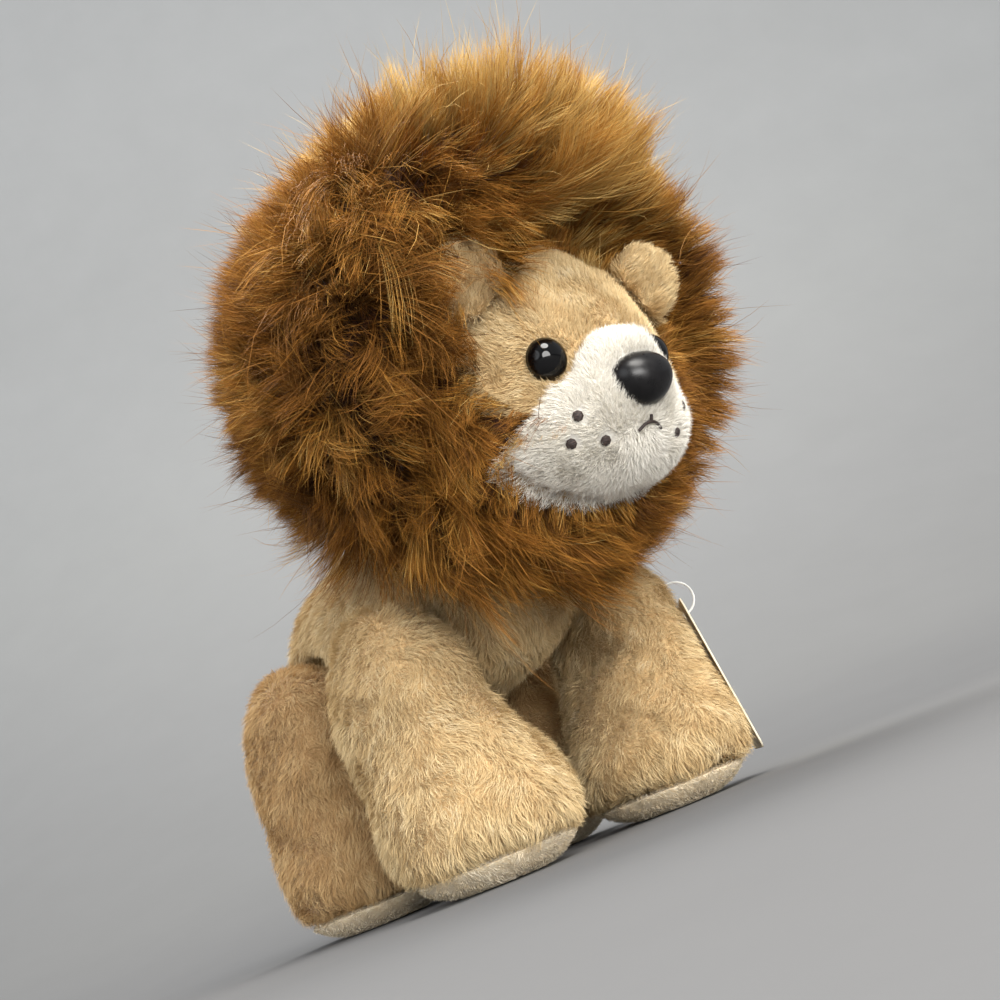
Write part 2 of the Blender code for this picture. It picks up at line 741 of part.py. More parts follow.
def leg_rings(side, axis_y, axis_height, top_radius, paw_y, paw_half_length):
    """Rings from under the sole up over the round top of one leg."""
    rings = []
    for up, width, length, blend in LEG_SHARES:
        x = PAW_X + (LEG_TOP_X - PAW_X) * blend
        y = paw_y + (axis_y - paw_y) * blend
        half_width = PAW_HALF_WIDTH * width * (1 - blend) + LEG_TOP_THICKNESS / 2 * blend
        half_length = paw_half_length * length * (1 - blend) + top_radius * blend
        centre = Vector((side * x, y, axis_height * up))
        rings.append(ring(centre, X * half_width, Y * half_length))
    for angle in LEG_TOP_ANGLES:
        centre = Vector((side * LEG_TOP_X, axis_y, axis_height + top_radius * math.sin(angle)))
        half_length = top_radius * math.cos(angle)
        half_width = LEG_TOP_THICKNESS / 2 * math.cos(angle) ** LEG_TOP_ROUNDING
        rings.append(ring(centre, X * half_width, Y * half_length))
    return rings


def make_leg(prefix, word, side, sizes, parts, cutters):
    """One stuffed leg and its sole panel, which share one outer form."""
    axis_y, axis_height, top_radius, paw_y, paw_half_length = sizes
    rings = leg_rings(side, *sizes)
    low = Vector((side * PAW_X, paw_y, -SOLE_DEPTH_BELOW))
    high = Vector((side * LEG_TOP_X, axis_y, axis_height + top_radius))
    leg = smooth(loft(f"{prefix}_leg_{word}", rings, parts, PLUSH_TAN, (low, high)))
    sole = smooth(loft(f"{prefix}_sole_{word}", rings, parts, PLUSH_CREAM, (low, high)))
    reach = PAW_HALF_WIDTH + PAW_X + OVERRUN
    front, rear = paw_y - paw_half_length - OVERRUN, paw_y + paw_half_length + OVERRUN
    upper = SOLE_THICKNESS + SEAM_GAP
    under = box("under_" + leg.name, (-reach, front, -OVERRUN), (reach, rear, upper), cutters)
    slab = box("slab_" + leg.name, (-reach, front, 0), (reach, rear, SOLE_THICKNESS), cutters)
    seam = LEG_SEAM_X + SEAM_GAP
    crotch = axis_height * CROTCH_SHARE
    inside = box(
        "inside_" + leg.name,
        (-seam, front, crotch),
        (seam, rear, axis_height + top_radius + OVERRUN),
        cutters,
    )
    cut_all(leg, [hide_cutter(under), hide_cutter(inside)])
    combine(sole, hide_cutter(slab), "INTERSECT")
    return leg, sole


def make_tail(parts, cutters):
    """The tail, level in its socket and then hanging, and the tuft over its end."""
    path = [TAIL_ROOT + Y * MOVING_GAP, TAIL_ROOT + Y * TAIL_SOCKET_DEPTH]
    bend_start = TAIL_ROOT + Y * (TAIL_SOCKET_DEPTH + TAIL_STRAIGHT)
    centre = bend_start - Z * TAIL_BEND_RADIUS
    for step in range(5):
        angle = math.pi / 2 * step / 4
        path.append(centre + (Y * math.sin(angle) + Z * math.cos(angle)) * TAIL_BEND_RADIUS)
    end = path[-1] - Z * TAIL_DROP
    path.append((path[-1] + end) / 2)
    path.append(end)
    rings = []
    for index, point in enumerate(path):
        before, after = path[max(index - 1, 0)], path[min(index + 1, len(path) - 1)]
        along = (after - before).normalized()
        rings.append(ring(point, X * TAIL_RADIUS, along.cross(X) * TAIL_RADIUS))
    tail = smooth(loft("tail", rings, parts, PLUSH_TAN, (path[0], end - Z * TAIL_RADIUS / 2)))
    top = end + Z * TUFT_OVERLAP
    rings = []
    for down, width in TUFT_SHARES:
        half = TUFT_RADIUS * width
        rings.append(ring(top - Z * TUFT_LENGTH * down, X * half, Y * half))
    tips = (top, top - Z * TUFT_LENGTH)
    tuft = smooth(loft("tail_tuft", rings, parts, PILE_RUST, tips))
    combine(tuft, swollen_copy(tail, SEAM_GAP, cutters))
    return tail, tuft


def rounded_outline(width, height, corner, steps=4):
    """Corner points of a rounded rectangle that hangs below the origin."""
    points = []
    for quarter in range(4):
        sign_x = 1 if quarter in (0, 3) else -1
        sign_y = 1 if quarter in (0, 1) else -1
        for step in range(steps + 1):
            angle = math.pi / 2 * (quarter + step / steps)
            x = sign_x * (width / 2 - corner) + corner * math.cos(angle)
            y = sign_y * (height / 2 - corner) + corner * math.sin(angle)
            points.append((x, y - height / 2 + TAG_HOLE_INSET))
    return points


def card_lean(leg, hole, outward, along):
    """How far a card whose hole is at a point has to lean out to rest against a leg."""
    lean = 0.0
    rest_gap = TAG_THICKNESS / 2 + SEAM_GAP
    for vert in evaluated_mesh(leg).vertices:
        offset = vert.co - hole
        if -TAG_LENGTH < offset.z < -TAG_HOLE_INSET and abs(offset.dot(along)) < TAG_WIDTH:
            lean = max(lean, math.atan2(offset.dot(outward) + rest_gap, -offset.z))
    return lean


def make_tag(leg, parts, cutters):
    """The bare card on the left shoulder and the loop through its hole, about whose middle it swings."""
    outward = X * math.sin(TAG_TURN) - Y * math.cos(TAG_TURN)
    along = outward.cross(Z)
    middle = Vector((LEG_TOP_X, FRONT_AXIS_Y, TAG_HEIGHT))
    point, _ = surface_at(leg, middle + outward * TAG_LENGTH, -outward)
    hole_centre = point + outward * TAG_STANDOFF
    lean = card_lean(leg, hole_centre, outward, along)
    normal = outward * math.cos(lean) + Z * math.sin(lean)
    seat = facing(hole_centre, normal)
    outline = bpy.data.curves.new("hang_tag", "CURVE")
    outline.dimensions = "2D"
    outline.fill_mode = "BOTH"
    outline.extrude = TAG_THICKNESS / 2
    hole = []
    for step in range(CAGE_SIDES):
        angle = math.tau * step / CAGE_SIDES
        hole.append((TAG_HOLE_RADIUS * math.cos(angle), TAG_HOLE_RADIUS * math.sin(angle)))
    for points in (rounded_outline(TAG_WIDTH, TAG_LENGTH, TAG_CORNER), hole):
        spline = outline.splines.new("POLY")
        spline.points.add(len(points) - 1)
        for knot, (x, y) in zip(spline.points, points):
            knot.co = (x, y, 0, 1)
        spline.use_cyclic_u = True
    tag = place("hang_tag", outline, parts, PAPER)
    tag.matrix_world = seat
    lift = seat.to_3x3() @ Y
    hinge = hole_centre + lift * FASTENER_LOOP_RADIUS
    loop = []
    for step in range(LOOP_POINTS):
        angle = math.tau * step / LOOP_POINTS
        loop.append(hinge + (normal * math.sin(angle) - lift * math.cos(angle)) * FASTENER_LOOP_RADIUS)
    fastener = tube("tag_fastener", loop, FASTENER_RADIUS, parts, CLEAR_PLASTIC, cyclic=True)
    combine(fastener, swollen_copy(leg, SEAM_GAP, cutters))
    return tag, fastener, hinge, along


def joint_empty(name, point, pieces, root, turn=0.0):
    """An empty on a joint's axis, turned to its place at rest, that carries what moves about it."""
    empty = bpy.data.objects.new(name, None)
    empty.empty_display_size = OVERRUN
    empty.location = point
    bpy.context.scene.collection.objects.link(empty)
    bpy.context.view_layer.update()
    for piece in pieces:
        piece.parent = empty
        piece.matrix_parent_inverse = empty.matrix_world.inverted()
    empty.rotation_euler.x = turn
    empty.parent = root
    return empty


def centre_on_floor(root, pieces):
    """Move the whole lion so that the origin lies under the middle of its box."""
    depsgraph = bpy.context.evaluated_depsgraph_get()
    corners = []
    for piece in pieces:
        solid = piece.evaluated_get(depsgraph)
        data = solid.to_mesh()
        corners += [solid.matrix_world @ vert.co for vert in data.vertices]
        solid.to_mesh_clear()
    low = Vector(map(min, zip(*corners)))
    high = Vector(map(max, zip(*corners)))
    root.location = (-(low.x + high.x) / 2, -(low.y + high.y) / 2, -low.z)
    return root.location


def main():
    """Build every piece, cut it clear of its neighbours and hang it on its joint."""
    clear_scene()
    parts = new_collection("plush_lion")
    cutters = new_collection("cutters")
    head_cutters = new_collection("head_cutters")

    torso = make_torso(parts, cutters)
    head = make_head(parts)
    muzzle = make_muzzle(parts)
    ears = [make_ear("ear_left", 1, parts), make_ear("ear_right", -1, parts)]
    mouth = make_mouth(muzzle, parts, head_cutters)
    dots = make_whisker_dots(muzzle, parts)

    front_sizes = (FRONT_AXIS_Y, FRONT_AXIS_HEIGHT, FRONT_TOP_RADIUS, FRONT_PAW_Y, FRONT_PAW_HALF_LENGTH)
    hind_sizes = (HIND_AXIS_Y, HIND_AXIS_HEIGHT, HIND_TOP_RADIUS, HIND_PAW_Y, HIND_PAW_HALF_LENGTH)
    legs = {}
    for word, side in (("left", 1), ("right", -1)):
        legs["front", word] = make_leg("front", word, side, front_sizes, parts, cutters)
        legs["hind", word] = make_leg("hind", word, side, hind_sizes, parts, cutters)

    mane_front = make_mane_front(parts)
    mane_back = make_mane_back(parts)
    nods = [turned_about(NECK, -HEAD_NOD + angle) for angle in (-NOD_LIMIT, 0, NOD_LIMIT)]
    shoulder = Vector((0, FRONT_AXIS_Y, FRONT_AXIS_HEIGHT))
    swings = [turned_about(shoulder, angle) for angle in (-SPREAD_LIMIT, 0, CLOSE_LIMIT)]
    room_for_torso = swept_hull(torso, NOD_CLEARANCE, nods, head_cutters)
    under_head = [room_for_torso]
    for word in ("left", "right"):
        moves = [nod @ swing for nod in nods for swing in swings]
        under_head.append(swept_hull(legs["front", word][0], NOD_CLEARANCE, moves, head_cutters))
    inner_head = swollen_copy(head, SEAM_GAP, head_cutters)
    inner_muzzle = swollen_copy(muzzle, SEAM_GAP, head_cutters)
    inner_ears = [make_ear("room_for_ear", side, head_cutters, EAR_CLEARANCE) for side in (1, -1)]
    face_opening = make_face_opening(head_cutters)
    cut_all(mane_front, [*under_head, face_opening, inner_head, inner_muzzle, *inner_ears])
    cut_all(mane_back, [*under_head, inner_head])
    for ear in ears:
        combine(ear, inner_head)
    combine(head, room_for_torso)

    eyes = make_eyes(head, muzzle, parts, head_cutters)
    combine(muzzle, inner_head)
    nose = make_nose(head, muzzle, parts, head_cutters)
    tail, tuft = make_tail(parts, cutters)
    tag, fastener, tag_hinge, tag_axis = make_tag(legs["front", "left"][0], parts, cutters)

    root = bpy.data.objects.new("plush_lion_root", None)
    bpy.context.scene.collection.objects.link(root)
    on_neck = [head, muzzle, *ears, mouth, *dots, *eyes, *nose, mane_front, mane_back, *head_cutters.objects]
    joints = {
        "neck": joint_empty("neck", NECK, on_neck, root, HEAD_NOD),
        "tail_root": joint_empty("tail_root", TAIL_ROOT, [tail, tuft], root),
        "tag_hinge": joint_empty("tag_hinge", tag_hinge, [tag], root),
    }
    for (prefix, word), (leg, sole) in legs.items():
        axis_y, axis_height, *_ = front_sizes if prefix == "front" else hind_sizes
        side = 1 if word == "left" else -1
        point = Vector((side * LEG_SEAM_X, axis_y, axis_height))
        carried = [leg, sole]
        if (prefix, word) == ("front", "left"):
            carried.append(fastener)
        name = f"{prefix}_{word}_seam"
        joints[name] = joint_empty(name, point, carried, root)
    for piece in [torso, *cutters.objects]:
        piece.parent = root

    shift = centre_on_floor(root, parts.objects)
    bpy.context.view_layer.update()
    print("moved by", [round(value, 6) for value in shift])
    for name, empty in joints.items():
        print(name, [round(value, 6) for value in empty.matrix_world.translation])
    print("tag axis", [round(value, 6) for value in tag_axis])


main()
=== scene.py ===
"""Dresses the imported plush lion: stuffed covers, short plush, a long-pile mane, safety eyes and a card.

Every length is in metres. Fur is real strands: narrow ribbons that leave a cover along its normal, bend
over along a comb and draw together into locks. The mane is worked out in the head's own frame, which nods
at rest.
"""

import json
import math
from typing import NamedTuple

import bmesh
import bpy
import numpy as np
from mathutils import Matrix, Vector
from mathutils.bvhtree import BVHTree
from mathutils.kdtree import KDTree


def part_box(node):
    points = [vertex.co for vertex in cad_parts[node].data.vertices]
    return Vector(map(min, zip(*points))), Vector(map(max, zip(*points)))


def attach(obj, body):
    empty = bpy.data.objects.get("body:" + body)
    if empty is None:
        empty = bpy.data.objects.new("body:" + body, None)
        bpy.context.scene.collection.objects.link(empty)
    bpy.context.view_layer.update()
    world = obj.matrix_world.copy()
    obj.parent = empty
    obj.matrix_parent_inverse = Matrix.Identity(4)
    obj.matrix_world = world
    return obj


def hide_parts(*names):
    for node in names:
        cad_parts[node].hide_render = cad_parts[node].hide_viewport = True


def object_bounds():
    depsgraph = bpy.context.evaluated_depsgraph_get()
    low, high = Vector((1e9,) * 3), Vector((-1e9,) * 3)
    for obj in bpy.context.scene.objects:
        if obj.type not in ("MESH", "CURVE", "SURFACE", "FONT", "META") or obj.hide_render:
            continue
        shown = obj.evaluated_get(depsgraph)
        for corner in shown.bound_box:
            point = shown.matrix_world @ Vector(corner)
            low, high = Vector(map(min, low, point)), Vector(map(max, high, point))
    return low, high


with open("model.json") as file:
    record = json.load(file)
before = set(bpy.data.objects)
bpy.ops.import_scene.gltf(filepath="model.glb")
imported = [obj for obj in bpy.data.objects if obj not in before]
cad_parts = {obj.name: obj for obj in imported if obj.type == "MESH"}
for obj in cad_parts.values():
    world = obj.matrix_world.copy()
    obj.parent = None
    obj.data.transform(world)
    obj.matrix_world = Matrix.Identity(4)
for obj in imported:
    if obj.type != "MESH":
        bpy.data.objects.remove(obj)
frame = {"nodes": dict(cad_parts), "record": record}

cad_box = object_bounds()
rng = np.random.default_rng(7)

# The photograph's camera
CAMERA_PLACE = (-0.246, -0.348, 0.013)
CAMERA_AZIMUTH = math.radians(-39.0)
CAMERA_ELEVATION = math.radians(-16.8)
CAMERA_ROLL = math.radians(-21.8)
FOCAL_SHARE = 1.05
SENSOR_WIDTH = 36

# The sweep behind the lion, measured along the camera's view
SWEEP_REACH = 6.0
SWEEP_START = 0.22
SWEEP_BEND = 1.5
SWEEP_STEPS = 48

# The head's frame: its origin on the neck joint, as modelled before the nod
HEAD_NOD = math.radians(25)
HEAD_CENTRE = np.array((0.0, -0.036, 0.064))
FACE_MIDDLE = np.array((0.0, -0.090, 0.070))
PILE_CENTRE = np.array((0.0, -0.012, 0.090))
MANE_SEAM = -0.0241

# The brow and cheeks, which carry short plush, as ellipses seen from the front
BROW_HEIGHT = 0.082
BROW_HALF_WIDTH = 0.043
BROW_HALF_HEIGHT = 0.036
BROW_FOOT = 0.060
CHEEK_HEIGHT = 0.044
CHEEK_HALF_WIDTH = 0.036
CHEEK_HALF_HEIGHT = 0.015
FAR_OFF_FACE = 9.0
FACE_EDGE_WAVES = ((0.02, 31, 0.06),)

# The bridge of the muzzle, which swells between the eyes and dips under the brow's plush
BRIDGE = np.array((0.0, -0.098, 0.075))
BRIDGE_REACH = 0.012
BRIDGE_SWELL = 0.003
BRIDGE_TOP = 0.087
BRIDGE_DIP = 0.0035
BRIDGE_DIP_REACH = 0.008

# Where the mane falls over the right side of the brow and over the right ear, all but the ear's lower part
FRINGE_START = np.array((-0.045, 0.086))
FRINGE_SLOPE = 0.75
FRINGE_SPREAD = 0.010
FRINGE_EDGE = (-0.3, 0.4)
FRINGE_FRONT = (0.010, 0.030)
EAR_COVER_REACH = 0.022
EAR_PATCH_OFFSET = np.array((0.0055, -0.0115))
EAR_PATCH_HALF = np.array((0.0065, 0.0095))

# Room that the strands leave round the stitches, buttons and muzzle, over the floor and in the part's box
STITCH_ROOM = 0.0014
BUTTON_ROOM = 0.0004
MUZZLE_EDGE = 0.002
MUZZLE_ROOM = 0.016
FLOOR_CLEARANCE = 0.0004
BOX_ROOM_SHARE = 0.03
BOX_ROOM = 0.0095

# Covers: how finely they are melted and smoothed, their lumps, and how deep each lies under its pile
COVER_VOXEL = 0.0028
COVER_SMOOTHING = 8
LUMP_WAVES = ((0.035, 3, 0.0008),)
BODY_INSET = 0.0022
HEAD_INSET = 0.0014
EAR_INSET = 0.0012
TAIL_INSET = 0.0010
TUFT_INSET = 0.0050
PANEL_INSET = 0.0006

# How far plush reaches under the piece that it is sewn to
LEG_SEAM = 0.004
BROW_SEAM = 0.002
PANEL_SEAM = 0.004
EAR_SEAM = 0.003
TAIL_SEAM = 0.002
PILE_SEAM = 0.001

# How far out on the face each begins or ends, as a share of its ellipses
PLUSH_EDGE = 1.25
LINING_EDGE = 1.15
MANE_EDGE = 0.95

# Strands of every kind
PIECE_TRIANGLES = 195000
TONE_COLUMNS = 256
MAP_MARGIN, MAP_HEIGHT = 0.004, 0.992
WIDTH_SPREAD = (0.7, 1.25)
TIP_TAPER = 0.72
FACING_SCATTER = 0.55


class Pile(NamedTuple):
    """A kind of plush: its length, strands per square centimetre, draw into tufts, rise and strand width."""

    length: float
    per_cm2: float
    pull: float = 0.3
    lift: float = 0.66
    width: float = 0.00024


BODY_PILE = Pile(0.0050, 260)
LEG_PILE = Pile(0.0056, 280)
SOLE_NAP = Pile(0.0020, 260)
BROW_PILE = Pile(0.0034, 560, pull=0.2)
CHEEK_PILE = Pile(0.0042, 420)
MUZZLE_PILE = Pile(0.0036, 950, pull=0.10, lift=0.72, width=0.00019)
EAR_PILE = Pile(0.0046, 520, pull=0.5)
TAIL_PILE = Pile(0.0042, 320)
TUFT_PILE = Pile(0.017, 260, pull=0.6, lift=0.55, width=0.00026)
MANE_PILE = Pile(0.040, 190, pull=0.62, lift=0.5, width=0.00026)

# How short plush varies: waves are layers of wavelength, seed and strength
PLUSH_LOCKS_PER_CM2 = 9.0
PLUSH_SEGMENTS = 2
PLUSH_STRAY = 0.26
PLUSH_LENGTHS = (0.65, 1.2)
PLUSH_LENGTH_WAVES = ((0.02, 5, 0.12),)
PLUSH_SWIRL = ((0.030, 11, 0.6), (0.010, 13, 0.5))
PLUSH_TONE = 0.56
PLUSH_PATCHES = ((0.045, 23, 0.06), (0.012, 29, 0.08))
PLUSH_LOCK_TONE = 0.07
PLUSH_STRAND_TONE = 0.08
TUFT_LOCKS = 60
TUFT_SEGMENTS = 4
TUFT_STRAY = 0.2
TUFT_LENGTHS = (0.6, 1.1)
TUFT_TONE = 0.5
TUFT_TONE_SPREAD = 0.14

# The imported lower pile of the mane, and the loose pile that stands on it
CORE_DEPTH = 0.015
CORE_STEPS = 4
CORE_SMOOTHING = 3
LOOSE_DEPTH = 0.018
MANE_LOCKS_PER_CM2 = 3.4
LOCKS_PER_TUFT = 6
TUFT_PULL = 0.22
MANE_SEGMENTS = 5
MANE_STRAY = 0.13

# How the long pile lies where the photograph shows it: across and up its disc, then right, up and outward
PILE_LAY = (
    (0.00, 0.85, -0.10, 0.95, 0.25),
    (-0.45, 0.70, -0.65, 0.70, 0.25),
    (-0.90, 0.28, -0.95, 0.25, 0.00),
    (-0.93, -0.30, -0.90, -0.20, 0.00),
    (-0.66, -0.70, -0.85, -0.35, 0.20),
    (-0.15, -0.80, 0.65, -0.45, 0.45),
    (0.35, -0.88, 0.90, -0.15, 0.30),
    (0.80, -0.60, 0.90, 0.05, 0.20),
    (0.95, -0.20, 0.92, 0.12, 0.10),
    (0.90, 0.36, 0.80, 0.50, 0.00),
    (0.58, 0.76, 0.35, 0.90, 0.15),
    (0.52, 0.52, 0.30, 0.85, 0.35),
    (0.20, 0.44, 0.60, -0.55, 0.60),
    (-0.12, -0.30, 0.75, -0.35, 0.50),
    (0.03, 0.34, 0.50, -0.55, 0.60),
    (-0.25, 0.05, 0.60, -0.20, 0.70),
    (-0.53, -0.12, -0.20, 0.05, 1.00),
    (-0.28, 0.52, -0.20, 0.25, 0.95),
    (-0.45, -0.46, 0.10, -0.25, 0.95),
)
LAY_REACH = 0.26
LEAST_LAY = 0.02
UNSEEN_SIDE = (-0.15, 0.35)
SWEPT_BACK = np.array((0.0, 0.62, -0.38))

# How the long pile varies: its lay, its lengths and its tones
LAY_STARTS = (1.1, 2.0)
MESSY_OUTWARD = (0.2, 0.8)
MESSY_ACROSS = (-0.1, 0.3)
EDGE_RISE = 0.8
MANE_SWIRL = ((0.045, 41, 0.20), (0.018, 43, 0.14))
LOCK_SWAY, MESSY_SWAY = 0.16, 0.30
LOCK_BEND, MESSY_BEND = 0.25, 0.25
SLANT_LIFT, LEAST_RISE = 0.55, 0.4
EDGE_LENGTH, EDGE_LENGTH_GAIN = 0.014, 0.014
EDGE_LENGTHENS = (1.0, 2.0)
BESIDE_MUZZLE, BESIDE_MUZZLE_GAIN = 0.55, 0.45
FALL_GAIN = 0.4
RIGHT_TRIM, RIGHT_SIDE = 0.45, (0.35, 0.85)
LEFT_TRIM, LEFT_SIDE = 0.16, (0.45, 0.9)
MANE_LENGTHS = (0.72, 1.12)
LOCK_LENGTHS = (0.85, 1.15)
FLYAWAY_SHARE, FLYAWAY_GAINS, FLYAWAY_SWAY = 0.08, (1.1, 1.5), 0.006
CRIMP_WAVES = ((0.012, 47, 0.0018),)
FRIZZ = 0.0011
MANE_TONE, MANE_TONE_SPREAD = 0.50, 0.12
MANE_PATCHES = ((0.05, 53, 0.07),)
EDGE_GLOW, EDGE_GLOW_RANGE = 0.15, (1.0, 1.5)
# Painted light: the mane paler toward its top as the camera sees it, where the light falls from above.
CROWN_PAINTED_LIGHT, CROWN_PAINTED_LIGHT_RANGE = 0.50, (0.35, 0.9)

# The polished domes of the safety eyes and nose
EYE_RADIUS, EYE_HEIGHT, EYE_DEPTH = 0.0074, 0.0060, 0.0008
NOSE_RADIUS, NOSE_HEIGHT, NOSE_TAPER, NOSE_FLAT = 0.0114, 0.0082, 0.16, 0.80
DOME_BACK = 0.25
DOME_SIDES, DOME_RINGS = 48, 32

# Soft round lamps: name, place, what they aim at, size, power and colour
LAMPS = (
    ("key", (-0.05, -1.15, 1.10), (0, 0, 0.17), 0.7, 23.5, (1.0, 0.97, 0.92)),
    ("fill", (-1.3, -0.7, 0.6), (0, 0, 0.17), 1.2, 6, (0.94, 0.97, 1.0)),
    ("low_fill", (-0.35, -1.35, 0.12), (0, -0.10, 0.12), 0.8, 22.5, (1.0, 0.98, 0.95)),
    ("top", (0.15, 0.15, 1.5), (0, 0, 0.25), 0.9, 18, (1.0, 0.98, 0.95)),
)


def linear(red, green, blue):
    """Linear colour of an sRGB colour written as 0 to 255."""
    values = np.array((red, green, blue)) / 255
    low = values / 12.92
    high = ((values + 0.055) / 1.055) ** 2.4
    return tuple(float(v) for v in np.where(values <= 0.04045, low, high))


def unit(vectors):
    """Vectors of length one."""
    return vectors / np.maximum(np.linalg.norm(vectors, axis=-1, keepdims=True), 1e-9)


def smooth_step(values, low, high):
    """Zero below low, one above high and smooth between."""
    share = np.clip((values - low) / (high - low), 0, 1)
    return share * share * (3 - 2 * share)


def wander(points, wavelength, seed, terms=7):
    """A smooth vector for each point that wanders over about a wavelength."""
    source = np.random.default_rng(seed)
    waves = unit(source.normal(size=(terms, 3))) * math.tau / wavelength
    waves = waves * source.uniform(0.6, 1.5, (terms, 1))
    phases = source.uniform(0, math.tau, (terms, 3))
    swings = source.normal(size=(terms, 3))
    result = np.zeros((len(points), 3))
    for wave, phase, swing in zip(waves, phases, swings):
        result += swing * np.sin((points @ wave)[:, None] + phase)
    return result / math.sqrt(terms)


def layered(points, waves):
    """Wandering vectors summed over layers of wavelength, seed and strength."""
    return sum(wander(points, wavelength, seed) * strength for wavelength, seed, strength in waves)


# Materials


def new_material(name):
    """An empty node material and its Principled shader."""
    made = bpy.data.materials.new(name)
    made.use_nodes = True
    return made, made.node_tree.nodes, made.node_tree.links, made.node_tree.nodes["Principled BSDF"]


def ramp(nodes, links, source, stops):
    """A colour ramp over a value, from (position, colour) stops."""
    made = nodes.new("ShaderNodeValToRGB")
    elements = made.color_ramp.elements
    while len(elements) < len(stops):
        elements.new(0.5)
    for element, (position, colour) in zip(elements, stops):
        element.position = position
        element.color = (*colour, 1)
    links.new(source, made.inputs["Fac"])
    return made.outputs["Color"]


def mixed(nodes, links, blend, factor, first, second):
    """Two colours mixed, each a socket or a colour."""
    made = nodes.new("ShaderNodeMix")
    made.data_type = "RGBA"
    made.blend_type = blend
    made.inputs["Factor"].default_value = factor
    for socket, value in ((made.inputs[6], first), (made.inputs[7], second)):
        if isinstance(value, tuple):
            socket.default_value = (*value, 1)
        else:
            links.new(value, socket)
    return made.outputs[2]


def noise(nodes, links, scale, detail=4.0, roughness=0.55, stretch=None):
    """Noise over the object's own coordinates, stretched if asked."""
    place = nodes.new("ShaderNodeTexCoord").outputs["Object"]
    if stretch:
        mapping = nodes.new("ShaderNodeMapping")
        mapping.inputs["Scale"].default_value = stretch
        links.new(place, mapping.inputs["Vector"])
        place = mapping.outputs["Vector"]
    made = nodes.new("ShaderNodeTexNoise")
    made.inputs["Scale"].default_value = scale
    made.inputs["Detail"].default_value = detail
    made.inputs["Roughness"].default_value = roughness
    links.new(place, made.inputs["Vector"])
    return made.outputs["Fac"]


def bumped(nodes, links, height, distance, strength=0.5):
    """A bump from a height."""
    made = nodes.new("ShaderNodeBump")
    made.inputs["Distance"].default_value = distance
    made.inputs["Strength"].default_value = strength
    links.new(height, made.inputs["Height"])
    return made.outputs["Normal"]


def pile_look(name, tones, root_painted_shade, tip_gain, roughness, sheen):
    """Material of strands: a tone for each strand across the map, darkened toward the root as painted shade.
    """
    made, nodes, links, shader = new_material(name)
    strand_map = nodes.new("ShaderNodeUVMap")
    strand_map.uv_map = "strand"
    parts = nodes.new("ShaderNodeSeparateXYZ")
    links.new(strand_map.outputs["UV"], parts.inputs["Vector"])
    colour = ramp(nodes, links, parts.outputs["X"], tones)
    # Painted shade: each strand darker toward its root, where shade falls deep in the pile.
    stops = ((0.0, (root_painted_shade,) * 3), (0.6, ((1 + root_painted_shade) / 2,) * 3), (1.0, (tip_gain,) * 3))
    shade = ramp(nodes, links, parts.outputs["Y"], stops)
    links.new(mixed(nodes, links, "MULTIPLY", 1.0, colour, shade), shader.inputs["Base Color"])
    shader.inputs["Roughness"].default_value = roughness
    shader.inputs["Specular IOR Level"].default_value = 0.2
    shader.inputs["Sheen Weight"].default_value = sheen
    shader.inputs["Sheen Roughness"].default_value = 0.5
    shader.inputs["Sheen Tint"].default_value = (*tones[-1][1], 1)
    return made


def cloth_look(name, dark, light, grain=900.0, bump=0.0006):
    """Material of the backing cloth under a pile, mottled and matted."""
    made, nodes, links, shader = new_material(name)
    fibres = noise(nodes, links, grain, 3.0, 0.7)
    patches = noise(nodes, links, grain / 20, 3.0, 0.5)
    colour = ramp(nodes, links, fibres, ((0.35, dark), (0.68, light)))
    shade = ramp(nodes, links, patches, ((0.3, (0.72,) * 3), (0.7, (1.0,) * 3)))
    links.new(mixed(nodes, links, "MULTIPLY", 1.0, colour, shade), shader.inputs["Base Color"])
    links.new(bumped(nodes, links, fibres, bump), shader.inputs["Normal"])
    shader.inputs["Roughness"].default_value = 0.95
    shader.inputs["Sheen Weight"].default_value = 0.3
    return made


def plastic_look(name, dark, light, roughness_low, roughness_high, gloss):
    """Moulded plastic with faint handling marks in its gloss."""
    made, nodes, links, shader = new_material(name)
    marks = noise(nodes, links, 260.0, 5.0, 0.6)
    links.new(ramp(nodes, links, marks, ((0.3, dark), (0.7, light))), shader.inputs["Base Color"])
    levels = ((0.35, (roughness_low,) * 3), (0.75, (roughness_high,) * 3))
    links.new(ramp(nodes, links, marks, levels), shader.inputs["Roughness"])
    shader.inputs["Specular IOR Level"].default_value = gloss
    return made


def thread_look():
    """Dark embroidery thread laid in fine parallel strands."""
    made, nodes, links, shader = new_material("embroidery_thread")
    lay = noise(nodes, links, 900.0, 2.0, 0.5, (1.0, 1.0, 5.0))
    stops = ((0.35, linear(22, 15, 13)), (0.7, linear(66, 48, 42)))
    links.new(ramp(nodes, links, lay, stops), shader.inputs["Base Color"])
    links.new(bumped(nodes, links, lay, 0.0003, 0.8), shader.inputs["Normal"])
    shader.inputs["Roughness"].default_value = 0.6
    return made


def card_look():
    """Uncoated card with faint fibres."""
    made, nodes, links, shader = new_material("paper_card")
    fibres = noise(nodes, links, 700.0, 5.0, 0.7, (1.0, 1.0, 0.3))
    stops = ((0.3, linear(218, 206, 178)), (0.7, linear(234, 225, 202)))
    links.new(ramp(nodes, links, fibres, stops), shader.inputs["Base Color"])
    links.new(bumped(nodes, links, fibres, 0.0001, 0.4), shader.inputs["Normal"])
    shader.inputs["Roughness"].default_value = 0.7
    return made


